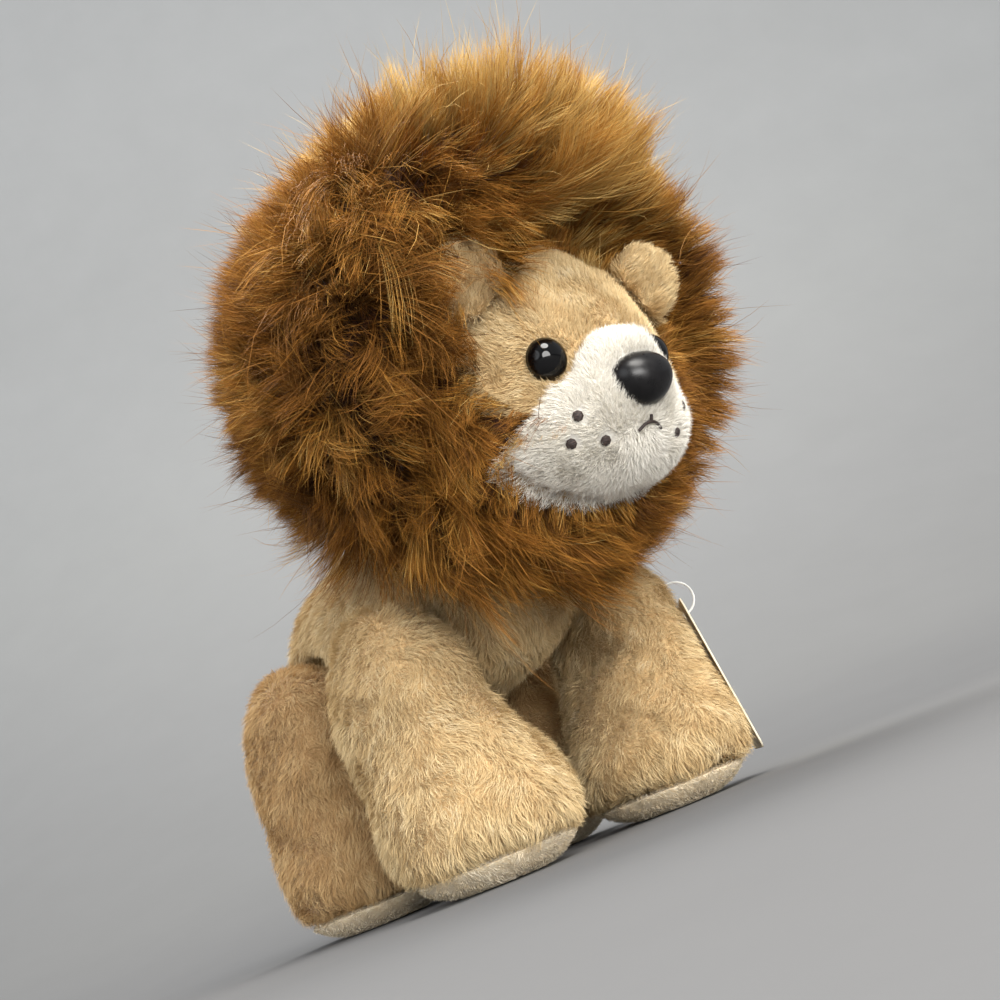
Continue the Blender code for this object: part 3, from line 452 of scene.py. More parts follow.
def stage_look(name, tones, top):
    """Plain material of the floor and wall, paler with height, where less of the lamps' light arrives."""
    made, nodes, links, shader = new_material(name)
    grain = noise(nodes, links, 9.0, 5.0, 0.6)
    parts = nodes.new("ShaderNodeSeparateXYZ")
    links.new(nodes.new("ShaderNodeTexCoord").outputs["Object"], parts.inputs["Vector"])
    height = nodes.new("ShaderNodeMapRange")
    height.inputs["From Max"].default_value = top
    links.new(parts.outputs["Z"], height.inputs["Value"])
    colour = ramp(nodes, links, height.outputs["Result"], tones)
    mottle = ramp(nodes, links, grain, ((0.3, (0.965,) * 3), (0.7, (1.0,) * 3)))
    links.new(mixed(nodes, links, "MULTIPLY", 1.0, colour, mottle), shader.inputs["Base Color"])
    links.new(bumped(nodes, links, grain, 0.002, 0.3), shader.inputs["Normal"])
    shader.inputs["Roughness"].default_value = 0.95
    shader.inputs["Specular IOR Level"].default_value = 0.1
    return made


TAN_TONES = (
    (0.0, linear(184, 148, 98)),
    (0.35, linear(219, 188, 136)),
    (0.7, linear(237, 212, 163)),
    (1.0, linear(248, 231, 194)),
)
# Painted shade: the hind legs wear the front legs' tan, made darker and warmer as it looks in shade.
TAN_PAINTED_SHADE_TONES = (
    (0.0, linear(160, 121, 76)),
    (0.35, linear(200, 161, 109)),
    (0.7, linear(221, 187, 135)),
    (1.0, linear(238, 212, 166)),
)
WHITE_TONES = ((0.0, linear(228, 222, 208)), (0.5, linear(240, 235, 224)), (1.0, linear(247, 243, 234)))
CREAM_TONES = ((0.0, linear(228, 208, 172)), (0.5, linear(240, 226, 198)), (1.0, linear(250, 240, 220)))
RUST_TONES = (
    (0.0, linear(74, 40, 10)),
    (0.3, linear(130, 81, 26)),
    (0.6, linear(172, 114, 43)),
    (0.85, linear(206, 154, 72)),
    (1.0, linear(236, 199, 124)),
)
AIR_LIGHT = (1.12, 1.15, 1.20)
AIR_SEEN = (184, 186, 188)
STAGE_TOP = 2.0
STAGE_TONES = (
    (0.0, linear(112, 112, 112)),
    (0.03, linear(122, 122, 121)),
    (0.16, linear(136, 136, 135)),
    (0.38, linear(157, 157, 155)),
    (0.64, linear(176, 176, 174)),
    (1.0, linear(183, 183, 181)),
)

# The third number of each pile look is its painted shade at the strands' roots.
looks = {
    "tan": pile_look("tan_plush_pile", TAN_TONES, 0.72, 1.0, 0.8, 0.3),
    "tan_painted_shade": pile_look("tan_painted_shade_plush_pile", TAN_PAINTED_SHADE_TONES, 0.70, 1.0, 0.8, 0.3),
    "white": pile_look("white_plush_pile", WHITE_TONES, 0.95, 1.0, 0.9, 0.05),
    "cream": pile_look("cream_sole_nap", CREAM_TONES, 0.84, 1.0, 0.85, 0.2),
    "rust": pile_look("rust_mane_pile", RUST_TONES, 0.30, 1.0, 0.6, 0.1),
    "tan_cloth": cloth_look("tan_cover", linear(190, 154, 104), linear(230, 200, 148)),
    "tan_painted_shade_cloth": cloth_look("tan_painted_shade_cover", linear(164, 126, 80), linear(208, 172, 120)),
    "white_cloth": cloth_look("white_cover", linear(222, 216, 204), linear(243, 239, 231)),
    "cream_cloth": cloth_look("cream_cover", linear(222, 200, 162), linear(244, 228, 198)),
    # The backing is painted far darker than the strands on it, as shade in the gaps between the locks.
    "rust_cloth_painted_shade": cloth_look("rust_backing_painted_shade", linear(48, 22, 6), linear(98, 54, 16)),
    "eye": plastic_look("eye_black", linear(3, 3, 4), linear(8, 7, 7), 0.03, 0.07, 0.35),
    "nose": plastic_look("nose_satin", linear(8, 7, 8), linear(18, 16, 17), 0.26, 0.40, 0.35),
    "washer": plastic_look("washer_white", linear(216, 214, 206), linear(234, 232, 226), 0.4, 0.55, 0.5),
    "loop": plastic_look("loop_clear", linear(214, 214, 210), linear(234, 234, 230), 0.2, 0.35, 0.5),
    "thread": thread_look(),
    "card": card_look(),
}


# Covers and strands


def add(name, data, look=None):
    """A linked object that carries one look."""
    made = bpy.data.objects.new(name, data)
    bpy.context.scene.collection.objects.link(made)
    if look:
        data.materials.clear()
        data.materials.append(looks[look])
    return made


def baked(piece):
    """The piece with its modifiers made part of its mesh."""
    bpy.context.view_layer.update()
    data = bpy.data.meshes.new_from_object(piece.evaluated_get(bpy.context.evaluated_depsgraph_get()))
    piece.modifiers.clear()
    piece.data = data
    return piece


def soften(piece, rounds):
    """Melt a piece into one even skin and smooth it."""
    remesh = piece.modifiers.new("remesh", "REMESH")
    remesh.mode = "VOXEL"
    remesh.voxel_size = COVER_VOXEL
    smoothing = piece.modifiers.new("soften", "SMOOTH")
    smoothing.iterations = rounds
    smoothing.factor = 0.6
    baked(piece)


def skin(data):
    """Places and smooth normals of a mesh's vertices."""
    places = np.empty(len(data.vertices) * 3)
    normals = np.empty(len(data.vertices) * 3)
    data.vertices.foreach_get("co", places)
    data.vertices.foreach_get("normal", normals)
    return places.reshape(-1, 3), normals.reshape(-1, 3)


def draw_in(data, depths):
    """Move a mesh's skin inward along its normals."""
    places, normals = skin(data)
    data.vertices.foreach_set("co", (places - normals * depths).ravel())
    data.update()


def make_cover(node, body, look, inset, lumpy=True):
    """A stuffed cover in a CAD solid's place: softened, lumped and drawn in by the depth of its pile."""
    piece = add(node + "_cover", frame["nodes"][node].data.copy())
    soften(piece, COVER_SMOOTHING)
    data = piece.data
    lumps = layered(skin(data)[0], LUMP_WAVES)[:, :1] if lumpy else 0.0
    draw_in(data, inset - lumps)
    data.shade_smooth()
    data.materials.clear()
    data.materials.append(looks[look])
    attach(piece, body)
    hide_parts(node)
    return piece


def scatter(piece, per_cm2):
    """Random points on a mesh, evenly by area, with their smooth normals."""
    data = piece.data
    data.calc_loop_triangles()
    places, normals = skin(data)
    corners = np.empty(len(data.loop_triangles) * 3, dtype=np.int64)
    data.loop_triangles.foreach_get("vertices", corners)
    corners = corners.reshape(-1, 3)
    first, second, third = (places[corners[:, index]] for index in range(3))
    areas = np.linalg.norm(np.cross(second - first, third - first), axis=1) / 2
    count = int(areas.sum() * 1e4 * per_cm2)
    chosen = rng.choice(len(areas), count, p=areas / areas.sum())
    shares = rng.random((count, 2))
    folded = shares.sum(axis=1) > 1
    shares[folded] = 1 - shares[folded]
    weights = np.column_stack((1 - shares.sum(axis=1), shares))
    picked = corners[chosen]
    points = np.einsum("nk,nkc->nc", weights, places[picked])
    return points, unit(np.einsum("nk,nkc->nc", weights, normals[picked]))


def solid_tree(node):
    """A search tree of a CAD node at rest."""
    data = frame["nodes"][node].data
    corners = [vert.co for vert in data.vertices]
    return BVHTree.FromPolygons(corners, [tuple(face.vertices) for face in data.polygons])


def outside(points, nodes, margin):
    """Which points lie outside CAD nodes, or less than a margin inside them."""
    keep = np.ones(len(points), bool)
    for node in nodes:
        tree = solid_tree(node)
        low, high = (np.array(corner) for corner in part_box(node))
        near = keep & np.all((points > low) & (points < high), axis=1)
        for index in np.flatnonzero(near):
            place, normal, _, _ = tree.find_nearest(points[index])
            if (Vector(points[index]) - place).dot(normal) < -margin:
                keep[index] = False
    return keep


def gap_to(points, node, reach):
    """How far points lie from a CAD node, counted up to a reach."""
    gaps = np.full(len(points), reach)
    tree = solid_tree(node)
    low, high = (np.array(corner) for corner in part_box(node))
    for index in np.flatnonzero(np.all((points > low - reach) & (points < high + reach), axis=1)):
        gaps[index] = min(reach, tree.find_nearest(points[index])[3])
    return gaps


def away_from(points, nodes, distance):
    """Which points lie further than a distance from CAD nodes."""
    return np.all([gap_to(points, node, distance) >= distance for node in nodes], axis=0)


def grow(roots, normals, combs, lengths, segments, lift, stray, bends=0.0):
    """Paths of strands that leave a cover and bend over along their comb, each with a bend of its own."""
    wild = rng.normal(size=roots.shape) * stray
    start = unit(normals * lift + combs * (1 - lift) + wild * 0.6)
    finish = unit(normals * 0.25 * lift + combs + wild + bends)
    paths = [roots]
    for step in range(segments):
        share = (step + 0.5) / segments
        heading = unit(start * (1 - share) + finish * share)
        paths.append(paths[-1] + heading * lengths[:, None] / segments)
    return np.stack(paths, axis=1)


def part_locks(roots, count):
    """The strand in the middle of each lock, and the lock that each strand belongs to."""
    middles = rng.choice(len(roots), min(count, len(roots)), replace=False)
    tree = KDTree(len(middles))
    for number, index in enumerate(middles):
        tree.insert(roots[index], number)
    tree.balance()
    return middles, np.array([tree.find(root)[1] for root in roots])


def gather(paths, middles, lock, pull):
    """Draw strands toward the middle strand of their lock, more toward their tips."""
    shares = np.linspace(0, 1, paths.shape[1]) ** 1.2
    strength = pull * rng.uniform(0.5, 1.0, (len(paths), 1, 1)) * shares[None, :, None]
    return paths + (paths[middles[lock]] - paths) * strength


def ribbons(name, paths, normals, width, tones, look, body):
    """Pieces of narrow ribbons along strand paths, facing outward with some scatter."""
    paths[:, :, 2] = np.maximum(paths[:, :, 2], FLOOR_CLEARANCE)
    segments = paths.shape[1] - 1
    per_piece = PIECE_TRIANGLES // (2 * segments - 1)
    for number, start in enumerate(range(0, len(paths), per_piece), 1):
        part = slice(start, start + per_piece)
        piece = ribbon_piece(f"{name}_{number}", paths[part], normals[part], width, tones[part], look)
        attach(piece, body)


def ribbon_piece(name, paths, normals, width, tones, look):
    """One mesh of ribbons, with each strand's tone and height kept in its maps."""
    count, rows, _ = paths.shape
    segments = rows - 1
    along = unit(np.diff(paths, axis=1))
    facing = normals[:, None] + rng.normal(size=(count, 1, 3)) * FACING_SCATTER
    sides = unit(np.cross(along, facing))
    narrowing = 1 - TIP_TAPER * np.linspace(0, 1, rows)[None, :segments]
    widths = width * rng.uniform(*WIDTH_SPREAD, (count, 1)) * narrowing
    left = paths[:, :segments] - sides * widths[:, :, None] / 2
    right = paths[:, :segments] + sides * widths[:, :, None] / 2
    verts = np.concatenate((np.stack((left, right), axis=2).reshape(count, -1, 3), paths[:, -1:]), axis=1)
    per = 2 * segments + 1
    corners = []
    for step in range(segments - 1):
        corners += [2 * step, 2 * step + 1, 2 * step + 3, 2 * step + 2]
    corners += [per - 3, per - 2, per - 1]
    loops = (np.arange(count)[:, None] * per + np.array(corners)[None]).ravel()
    sizes = np.tile([4] * (segments - 1) + [3], count)
    starts = np.concatenate(([0], np.cumsum(sizes)[:-1]))
    data = bpy.data.meshes.new(name)
    data.vertices.add(count * per)
    data.vertices.foreach_set("co", verts.ravel())
    data.loops.add(len(loops))
    data.loops.foreach_set("vertex_index", loops.astype(np.int32))
    data.polygons.add(len(starts))
    data.polygons.foreach_set("loop_start", starts.astype(np.int32))
    data.update(calc_edges=True)
    column = 1 / TONE_COLUMNS
    base = np.floor(np.clip(tones, 0, 0.999) * TONE_COLUMNS) * column + column * 0.1
    across = np.tile([0, column * 0.8], segments).tolist() + [column * 0.4]
    heights = np.repeat(np.arange(segments) / segments, 2).tolist() + [1.0]
    vert_u = (base[:, None] + np.array(across)[None]).ravel()
    vert_v = np.tile(MAP_MARGIN + MAP_HEIGHT * np.array(heights), count)
    coordinates = np.column_stack((vert_u[loops], vert_v[loops])).ravel()
    for map_name in ("strand", "OFBake"):
        layer = data.uv_layers.new(name=map_name, do_init=False)
        layer.uv.foreach_set("vector", coordinates)
    data.shade_smooth()
    return add(name, data, look)


def tangent(directions, normals):
    """Directions laid along the surface."""
    return unit(directions - normals * (directions * normals).sum(axis=1, keepdims=True))


def plush(name, cover, body, look, comb, pile, keep=None):
    """Short plush over a cover, combed one way and gathered a little into tufts."""
    roots, normals = scatter(cover, pile.per_cm2)
    if keep is not None:
        kept = keep(roots)
        roots, normals = roots[kept], normals[kept]
    combs = tangent(comb(roots) + layered(roots, PLUSH_SWIRL), normals)
    lengths = pile.length * rng.uniform(*PLUSH_LENGTHS, len(roots))
    lengths = lengths * (1 + layered(roots, PLUSH_LENGTH_WAVES)[:, 0])
    paths = grow(roots, normals, combs, lengths, PLUSH_SEGMENTS, pile.lift, PLUSH_STRAY)
    middles, lock = part_locks(roots, int(len(roots) / pile.per_cm2 * PLUSH_LOCKS_PER_CM2))
    paths = gather(paths, middles, lock, pile.pull)
    tones = PLUSH_TONE + layered(roots, PLUSH_PATCHES)[:, 0]
    tones += rng.normal(size=len(middles))[lock] * PLUSH_LOCK_TONE
    tones += rng.normal(size=len(roots)) * PLUSH_STRAND_TONE
    ribbons(name, paths, normals, pile.width, np.clip(tones, 0, 1), look, body)


def toward(direction):
    """A comb that lies one way everywhere."""
    return lambda points: np.tile(np.array(direction, float), (len(points), 1))


def from_point(place):
    """A comb that leads away from a point."""
    return lambda points: unit(points - np.array(place))


def clear_of(nodes, seam):
    """A test for roots outside CAD nodes, or less than the seam's depth inside them."""
    return lambda roots: outside(roots, nodes, seam)


# The head's frame


def joint_place(name):
    """Where a joint of the record lies."""
    for joint in frame["record"]["behaviour"]["joints"]:
        if joint["name"] == name:
            return Vector(joint["pos_m"])
    raise KeyError(name)


HEAD_FRAME = Matrix.Translation(joint_place("neck_nod")) @ Matrix.Rotation(HEAD_NOD, 4, "X")
HEAD_TURN = np.array(HEAD_FRAME.to_3x3())
HEAD_PLACE = np.array(HEAD_FRAME.translation)


def to_head(points):
    """Points of the row frame in the head's frame."""
    return (points - HEAD_PLACE) @ HEAD_TURN


def view_axes():
    """The photograph's right, up and outward directions in the row frame."""
    level, rise = math.cos(CAMERA_ELEVATION), math.sin(CAMERA_ELEVATION)
    back = Vector((math.sin(CAMERA_AZIMUTH) * level, -math.cos(CAMERA_AZIMUTH) * level, rise))
    right = Vector((math.cos(CAMERA_AZIMUTH), math.sin(CAMERA_AZIMUTH), 0))
    right = right * math.cos(CAMERA_ROLL) + back.cross(right) * math.sin(CAMERA_ROLL)
    return right, back.cross(right), back


def past_fringe(local):
    """How far points of the head's frame lie above the line of the mane over the brow's right side."""
    line = FRINGE_START[1] + FRINGE_SLOPE * (local[:, 0] - FRINGE_START[0])
    return (local[:, 2] - line) / FRINGE_SPREAD


def bare_face(points):
    """How far out points lie on the face, past one outside it, and the same for its brow and cheeks."""
    local = to_head(points)
    brow = (local[:, 0] / BROW_HALF_WIDTH) ** 2 + ((local[:, 2] - BROW_HEIGHT) / BROW_HALF_HEIGHT) ** 2
    brow = np.where(local[:, 2] < BROW_FOOT, FAR_OFF_FACE, brow) + np.maximum(0, past_fringe(local))
    cheek = (local[:, 0] / CHEEK_HALF_WIDTH) ** 2 + ((local[:, 2] - CHEEK_HEIGHT) / CHEEK_HALF_HEIGHT) ** 2
    share = np.minimum(brow, cheek) + layered(points, FACE_EDGE_WAVES)[:, 0]
    return np.where(local[:, 1] > HEAD_CENTRE[1], FAR_OFF_FACE, share), brow, cheek


def node_middle(node):
    """The middle of a CAD node's box."""
    low, high = (np.array(corner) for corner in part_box(node))
    return (low + high) / 2


# The lion's pieces


def make_body():
    """Torso and legs with their soles."""
    legs = ("front_leg_left", "front_leg_right", "hind_leg_left", "hind_leg_right")
    torso = make_cover("torso", "torso", "tan_cloth", BODY_INSET)
    comb = toward((0, 0.4, -0.8))
    plush("torso_plush", torso, "torso", "tan", comb, BODY_PILE, clear_of(legs, LEG_SEAM))
    # The hind legs take the tan made darker as painted shade.
    for prefix, look in (("front", "tan"), ("hind", "tan_painted_shade")):
        for word in ("left", "right"):
            make_leg(f"{prefix}_leg_{word}", f"{prefix}_sole_{word}", f"leg_{prefix}_{word}", look)


def make_leg(leg, sole, body, look):
    """One leg and the panel under its paw."""
    cover = make_cover(leg, body, look + "_cloth", BODY_INSET)
    comb = toward((0, -0.35, -0.8))
    plush(leg + "_plush", cover, body, look, comb, LEG_PILE, clear_of(("torso",), LEG_SEAM))
    pad = make_cover(sole, body, "cream_cloth", PANEL_INSET, lumpy=False)
    plush(sole + "_nap", pad, body, "cream", toward((0, -1, 0)), SOLE_NAP)


def make_face():
    """Head, muzzle and ears."""
    head = make_cover("head", "head", "tan_cloth", HEAD_INSET)
    line_under_mane(head.data)
    comb = from_point(node_middle("nose") + np.array((0, 0, -0.02)))
    on_brow, on_cheek = on_face(True, BROW_SEAM), on_face(False, PANEL_SEAM)
    plush("brow_plush", head, "head", "tan", comb, BROW_PILE, on_brow)
    plush("cheek_plush", head, "head", "white", comb, CHEEK_PILE, on_cheek)
    muzzle = make_cover("muzzle", "head", "white_cloth", PANEL_INSET, lumpy=False)
    shape_bridge(muzzle.data)
    comb = from_point(node_middle("mouth_stitch"))
    keep = lambda roots: outside(roots, ("head",), PANEL_SEAM) & clear_of_features(roots)
    plush("muzzle_plush", muzzle, "head", "white", comb, MUZZLE_PILE, keep)
    comb = from_point(node_middle("head"))
    for word in ("left", "right"):
        ear = make_cover("ear_" + word, "head", "tan_cloth", EAR_INSET, lumpy=False)
        keep = clear_of(("head",), EAR_SEAM)
        plush(f"ear_{word}_plush", ear, "head", "tan", comb, EAR_PILE, keep)


def clear_of_features(roots):
    """Which roots leave room for the eyes and nose, and for the stitches that the pile is combed toward."""
    dots = tuple(f"whisker_dot_{word}_{number}" for word in ("left", "right") for number in (1, 2, 3))
    ahead = roots + unit(roots - node_middle("mouth_stitch")) * STITCH_ROOM
    off_buttons = away_from(roots, ("eye_left", "eye_right", "nose"), BUTTON_ROOM)
    return off_buttons & away_from(ahead, ("mouth_stitch", *dots), STITCH_ROOM)


def on_face(is_brow, seam):
    """A test for roots on the brow, or else on the cheeks, that leave room for the muzzle and features."""

    def keep(roots):
        share, brow, cheek = bare_face(roots)
        here = (share < PLUSH_EDGE) & ((brow < cheek) == is_brow)
        return here & clear_of_features(roots) & outside(roots, ("muzzle",), seam)

    return keep


def shape_bridge(data):
    """Swell the muzzle between the eyes, and sink its top under the brow's plush."""
    local = to_head(skin(data)[0])
    gaps = np.linalg.norm(local - BRIDGE, axis=1) / BRIDGE_REACH
    above = smooth_step(local[:, 2], BRIDGE_TOP - BRIDGE_DIP_REACH, BRIDGE_TOP)
    draw_in(data, (BRIDGE_DIP * above - BRIDGE_SWELL * np.exp(-(gaps**2) / 2))[:, None])


def line_under_mane(data):
    """Give the head's cover under the mane the mane's dark backing, painted shade under the locks."""
    data.materials.append(looks["rust_cloth_painted_shade"])
    centres = np.empty(len(data.polygons) * 3)
    data.polygons.foreach_get("center", centres)
    hidden = bare_face(centres.reshape(-1, 3))[0] > LINING_EDGE
    data.polygons.foreach_set("material_index", hidden.astype(np.int32))


def make_tail():
    """Tail and its tuft."""
    tail = make_cover("tail", "tail", "tan_cloth", TAIL_INSET, lumpy=False)
    keep = clear_of(("torso", "tail_tuft"), TAIL_SEAM)
    plush("tail_plush", tail, "tail", "tan", toward((0, 0.6, -0.8)), TAIL_PILE, keep)
    # The tuft's cover wears the dark backing, painted shade under its strands.
    tuft = make_cover("tail_tuft", "tail", "rust_cloth_painted_shade", TUFT_INSET, lumpy=False)
    roots, normals = scatter(tuft, TUFT_PILE.per_cm2)
    combs = tangent(np.tile((0.0, 0.0, -1.0), (len(roots), 1)), normals)
    lengths = TUFT_PILE.length * rng.uniform(*TUFT_LENGTHS, len(roots))
    paths = grow(roots, normals, combs, lengths, TUFT_SEGMENTS, TUFT_PILE.lift, TUFT_STRAY)
    middles, lock = part_locks(roots, TUFT_LOCKS)
    paths = gather(paths, middles, lock, TUFT_PILE.pull)
    tones = TUFT_TONE + rng.normal(size=TUFT_LOCKS)[lock] * TUFT_TONE_SPREAD
    tones += rng.normal(size=len(roots)) * TUFT_TONE_SPREAD
    ribbons("tuft_pile", paths, normals, TUFT_PILE.width, tones, "rust", "tail")


def make_core():
    """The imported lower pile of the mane: its solids melted together and drawn in below the loose tips."""
    bm = bmesh.new()
    for node in ("mane_front", "mane_back", "head"):
        bm.from_mesh(frame["nodes"][node].data)
    data = bpy.data.meshes.new("mane_core")
    bm.to_mesh(data)
    bm.free()
    whole = add("mane_core", data)
    for _ in range(CORE_STEPS):
        soften(whole, CORE_SMOOTHING)
        draw_in(whole.data, CORE_DEPTH / CORE_STEPS)
    soften(whole, CORE_SMOOTHING)
    pieces = [half_of_core(whole.data, name, name == "front") for name in ("front", "back")]
    bpy.data.objects.remove(whole, do_unlink=True)
    return pieces


def half_of_core(data, name, is_front):
    """The part of the core before or behind the seam between the mane's two solids."""
    bm = bmesh.new()
    bm.from_mesh(data)
    everything = bm.verts[:] + bm.edges[:] + bm.faces[:]
    place = HEAD_FRAME @ Vector((0, MANE_SEAM, 0))
    backward = HEAD_FRAME.to_3x3() @ Vector((0, 1, 0))
    bmesh.ops.bisect_plane(
        bm,
        geom=everything,
        plane_co=place,
        plane_no=backward,
        clear_outer=is_front,
        clear_inner=not is_front,
    )
    half = bpy.data.meshes.new("mane_core_" + name)
    bm.to_mesh(half)
    bm.free()
    half.shade_smooth()
    # The core wears the dark backing, painted shade between the mane's locks.
    piece = add("mane_core_" + name, half, "rust_cloth_painted_shade")
    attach(piece, "head")
    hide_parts("mane_" + name)
    return piece


def mane_roots(cores, head):
    """Roots of the mane on its core, then on the head up to the face's edge, and how many the core has."""
    found = [scatter(core, MANE_PILE.per_cm2) for core in cores]
    roots = np.concatenate([points for points, _ in found])
    normals = np.concatenate([facing for _, facing in found])
    keep = outside(roots, ("head", "torso"), 0.0)
    roots, normals = roots[keep], normals[keep]
    points, facing = scatter(head, MANE_PILE.per_cm2)
    keep = (bare_face(points)[0] > MANE_EDGE) & (to_head(points)[:, 1] < MANE_SEAM)
    keep &= outside(points, ("muzzle",), PILE_SEAM)
    points, facing = points[keep], facing[keep]
    above = ~beneath(points, roots, normals)
    return np.concatenate((roots, points[above])), np.concatenate((normals, facing[above])), len(roots)


def beneath(points, roots, normals):
    """Which points lie under the skin that roots and their normals outline."""
    tree = KDTree(len(roots))
    for index, root in enumerate(roots):
        tree.insert(root, index)
    tree.balance()
    nearest = np.array([tree.find(point)[1] for point in points])
    return ((points - roots[nearest]) * normals[nearest]).sum(axis=1) < 0


def pile_comb(roots):
    """Which way the long pile lies: as photographed, and outward and back where nothing is seen."""
    axes = np.array(view_axes())
    out = unit(to_head(roots) - PILE_CENTRE) @ HEAD_TURN.T
    places = out @ axes.T
    back = SWEPT_BACK @ HEAD_TURN.T
    unseen = smooth_step(-places[:, 2], *UNSEEN_SIDE)
    comb = unit(out + back) * (LEAST_LAY + unseen)[:, None]
    for across, up, *lay in PILE_LAY:
        depth = math.sqrt(max(0.0, 1 - across**2 - up**2))
        gap = ((places - np.array((across, up, depth))) ** 2).sum(axis=1)
        weight = np.exp(-gap / (2 * LAY_REACH**2)) * (1 - unseen)
        comb += weight[:, None] * (np.array(lay) @ axes)
    return unit(comb)


def mane_regions(roots):
    """Where roots lie seen by the camera, how far off the face, where they fall over it, and their room."""
    local = to_head(roots)
    places = (unit(local - PILE_CENTRE) @ HEAD_TURN.T) @ np.array(view_axes()).T
    share = bare_face(roots)[0]
    to_ear = np.linalg.norm(roots - node_middle("ear_right"), axis=1)
    over_ear = np.exp(-((to_ear / EAR_COVER_REACH) ** 2) / 2)
    fringe = smooth_step(past_fringe(local), *FRINGE_EDGE)
    fringe = fringe * smooth_step(MANE_SEAM - local[:, 1], *FRINGE_FRONT)
    room = smooth_step(gap_to(roots, "muzzle", MUZZLE_ROOM), MUZZLE_EDGE, MUZZLE_ROOM)
    return places, share, np.maximum(over_ear, fringe), room


def mane_lay(roots, normals, share, falls, room):
    """Combs of the mane: away from the face's edge, and the photographed lay further out or over the face."""
    local = to_head(roots)
    free = (np.maximum(smooth_step(share, *LAY_STARTS), falls) * room)[:, None]
    away = unit(unit(local - FACE_MIDDLE) @ HEAD_TURN.T + normals * EDGE_RISE)
    combs = pile_comb(roots) * free + away * (1 - free)
    return combs + layered(local, MANE_SWIRL)


def mane_lengths(normals, combs, on_core, places, share, falls, room):
    """Lengths that reach the mane's outline, shorter at the face's edge, by the muzzle and at the sides."""
    rise = (unit(combs + normals * SLANT_LIFT) * normals).sum(axis=1)
    lengths = np.minimum(LOOSE_DEPTH / np.maximum(rise, LEAST_RISE), MANE_PILE.length)
    lengths[on_core:] = EDGE_LENGTH + EDGE_LENGTH_GAIN * smooth_step(share[on_core:], *EDGE_LENGTHENS)
    lengths *= BESIDE_MUZZLE + BESIDE_MUZZLE_GAIN * room
    lengths *= (1 + FALL_GAIN * falls) * (1 - RIGHT_TRIM * smooth_step(places[:, 0], *RIGHT_SIDE))
    lengths *= 1 - LEFT_TRIM * smooth_step(-places[:, 0], *LEFT_SIDE)
    return lengths


def ruffled(paths, flyaway):
    """Strands crimped and frizzed, more toward their tips, and the flyaway ones most."""
    shares = np.linspace(0, 1, paths.shape[1])[None, :, None] ** 2
    paths = paths + layered(paths[:, -1], CRIMP_WAVES)[:, None] * shares
    paths += rng.normal(size=(len(paths), 1, 3)) * FRIZZ * shares
    paths[flyaway] += rng.normal(size=(flyaway.sum(), 1, 3)) * FLYAWAY_SWAY * shares
    return paths


def mane_tones(roots, middles, lock, places, share):
    """Tones that vary by patch, lock and strand, paler at the face's edge and, as painted light, toward the
    crown's top.
    """
    tones = MANE_TONE + layered(to_head(roots), MANE_PATCHES)[:, 0]
    by_lock = rng.normal(size=len(middles))[lock] * MANE_TONE_SPREAD
    tones += by_lock + rng.normal(size=len(roots)) * MANE_TONE_SPREAD
    edge = EDGE_GLOW * (1 - smooth_step(share, *EDGE_GLOW_RANGE))
    # Painted light at the crown: paler toward the top as the camera sees it.
    tones += edge + CROWN_PAINTED_LIGHT * smooth_step(places[:, 1], *CROWN_PAINTED_LIGHT_RANGE)
    return np.clip(tones, 0, 1)


def make_mane(head):
    """The long pile: it stands up at the crown, closes round the face and is swept back and down behind."""
    roots, normals, on_core = mane_roots(make_core(), head)
    area = len(roots) / MANE_PILE.per_cm2
    middles, lock = part_locks(roots, int(area * MANE_LOCKS_PER_CM2))
    places, share, falls, room = mane_regions(roots)
    messy = smooth_step(places[:, 2], *MESSY_OUTWARD) * smooth_step(-places[:, 0], *MESSY_ACROSS)
    combs = mane_lay(roots, normals, share, falls, room)
    combs += rng.normal(size=(len(middles), 3))[lock] * (LOCK_SWAY + MESSY_SWAY * messy)[:, None]
    combs = unit(combs)
    bends = rng.normal(size=(len(middles), 3))[lock] * (LOCK_BEND + MESSY_BEND * messy)[:, None]
    lengths = mane_lengths(normals, combs, on_core, places, share, falls, room)
    lengths *= rng.uniform(*MANE_LENGTHS, len(roots)) * rng.uniform(*LOCK_LENGTHS, len(middles))[lock]
    flyaway = rng.random(len(roots)) < FLYAWAY_SHARE
    lengths[flyaway] *= rng.uniform(*FLYAWAY_GAINS, flyaway.sum())
    paths = grow(roots, normals, combs, lengths, MANE_SEGMENTS, MANE_PILE.lift, MANE_STRAY, bends)
    paths = gather(paths, middles, lock, MANE_PILE.pull)
    groups, group = part_locks(roots, int(area * MANE_LOCKS_PER_CM2 / LOCKS_PER_TUFT))
    paths = ruffled(gather(paths, groups, group, TUFT_PULL), flyaway)
    tones = mane_tones(roots, middles, lock, places, share)
    paths, kept = trimmed(paths)
    kept &= in_room(paths)
    paths, normals, tones = paths[kept], normals[kept], tones[kept]
    ribbons("mane_pile", paths, normals, MANE_PILE.width, tones, "rust", "head")


def trimmed(paths):
    """Strands cut short where they would hide the right ear's lower part, and which of them are left."""
    axes = np.array(view_axes())
    places = paths @ axes.T
    middle = node_middle("ear_right") @ axes.T
    across = (places[:, 1:, :2] - middle[:2] - EAR_PATCH_OFFSET) / EAR_PATCH_HALF
    hides = ((across**2).sum(axis=2) < 1) & (places[:, 1:, 2] > middle[2] - EAR_PATCH_HALF[1])
    steps = hides.shape[1]
    shares = np.where(hides.any(axis=1), hides.argmax(axis=1) / steps, 1.0)
    roots = paths[:, :1]
    return roots + (paths - roots) * shares[:, None, None], shares > 1 / steps


def in_room(paths):
    """Which strands stay inside the part's box and the little room round it."""
    low, high = (np.array(corner) for corner in cad_box)
    room = (high - low) * BOX_ROOM_SHARE + BOX_ROOM
    return np.all((paths > low - room) & (paths < high + room), axis=(1, 2))


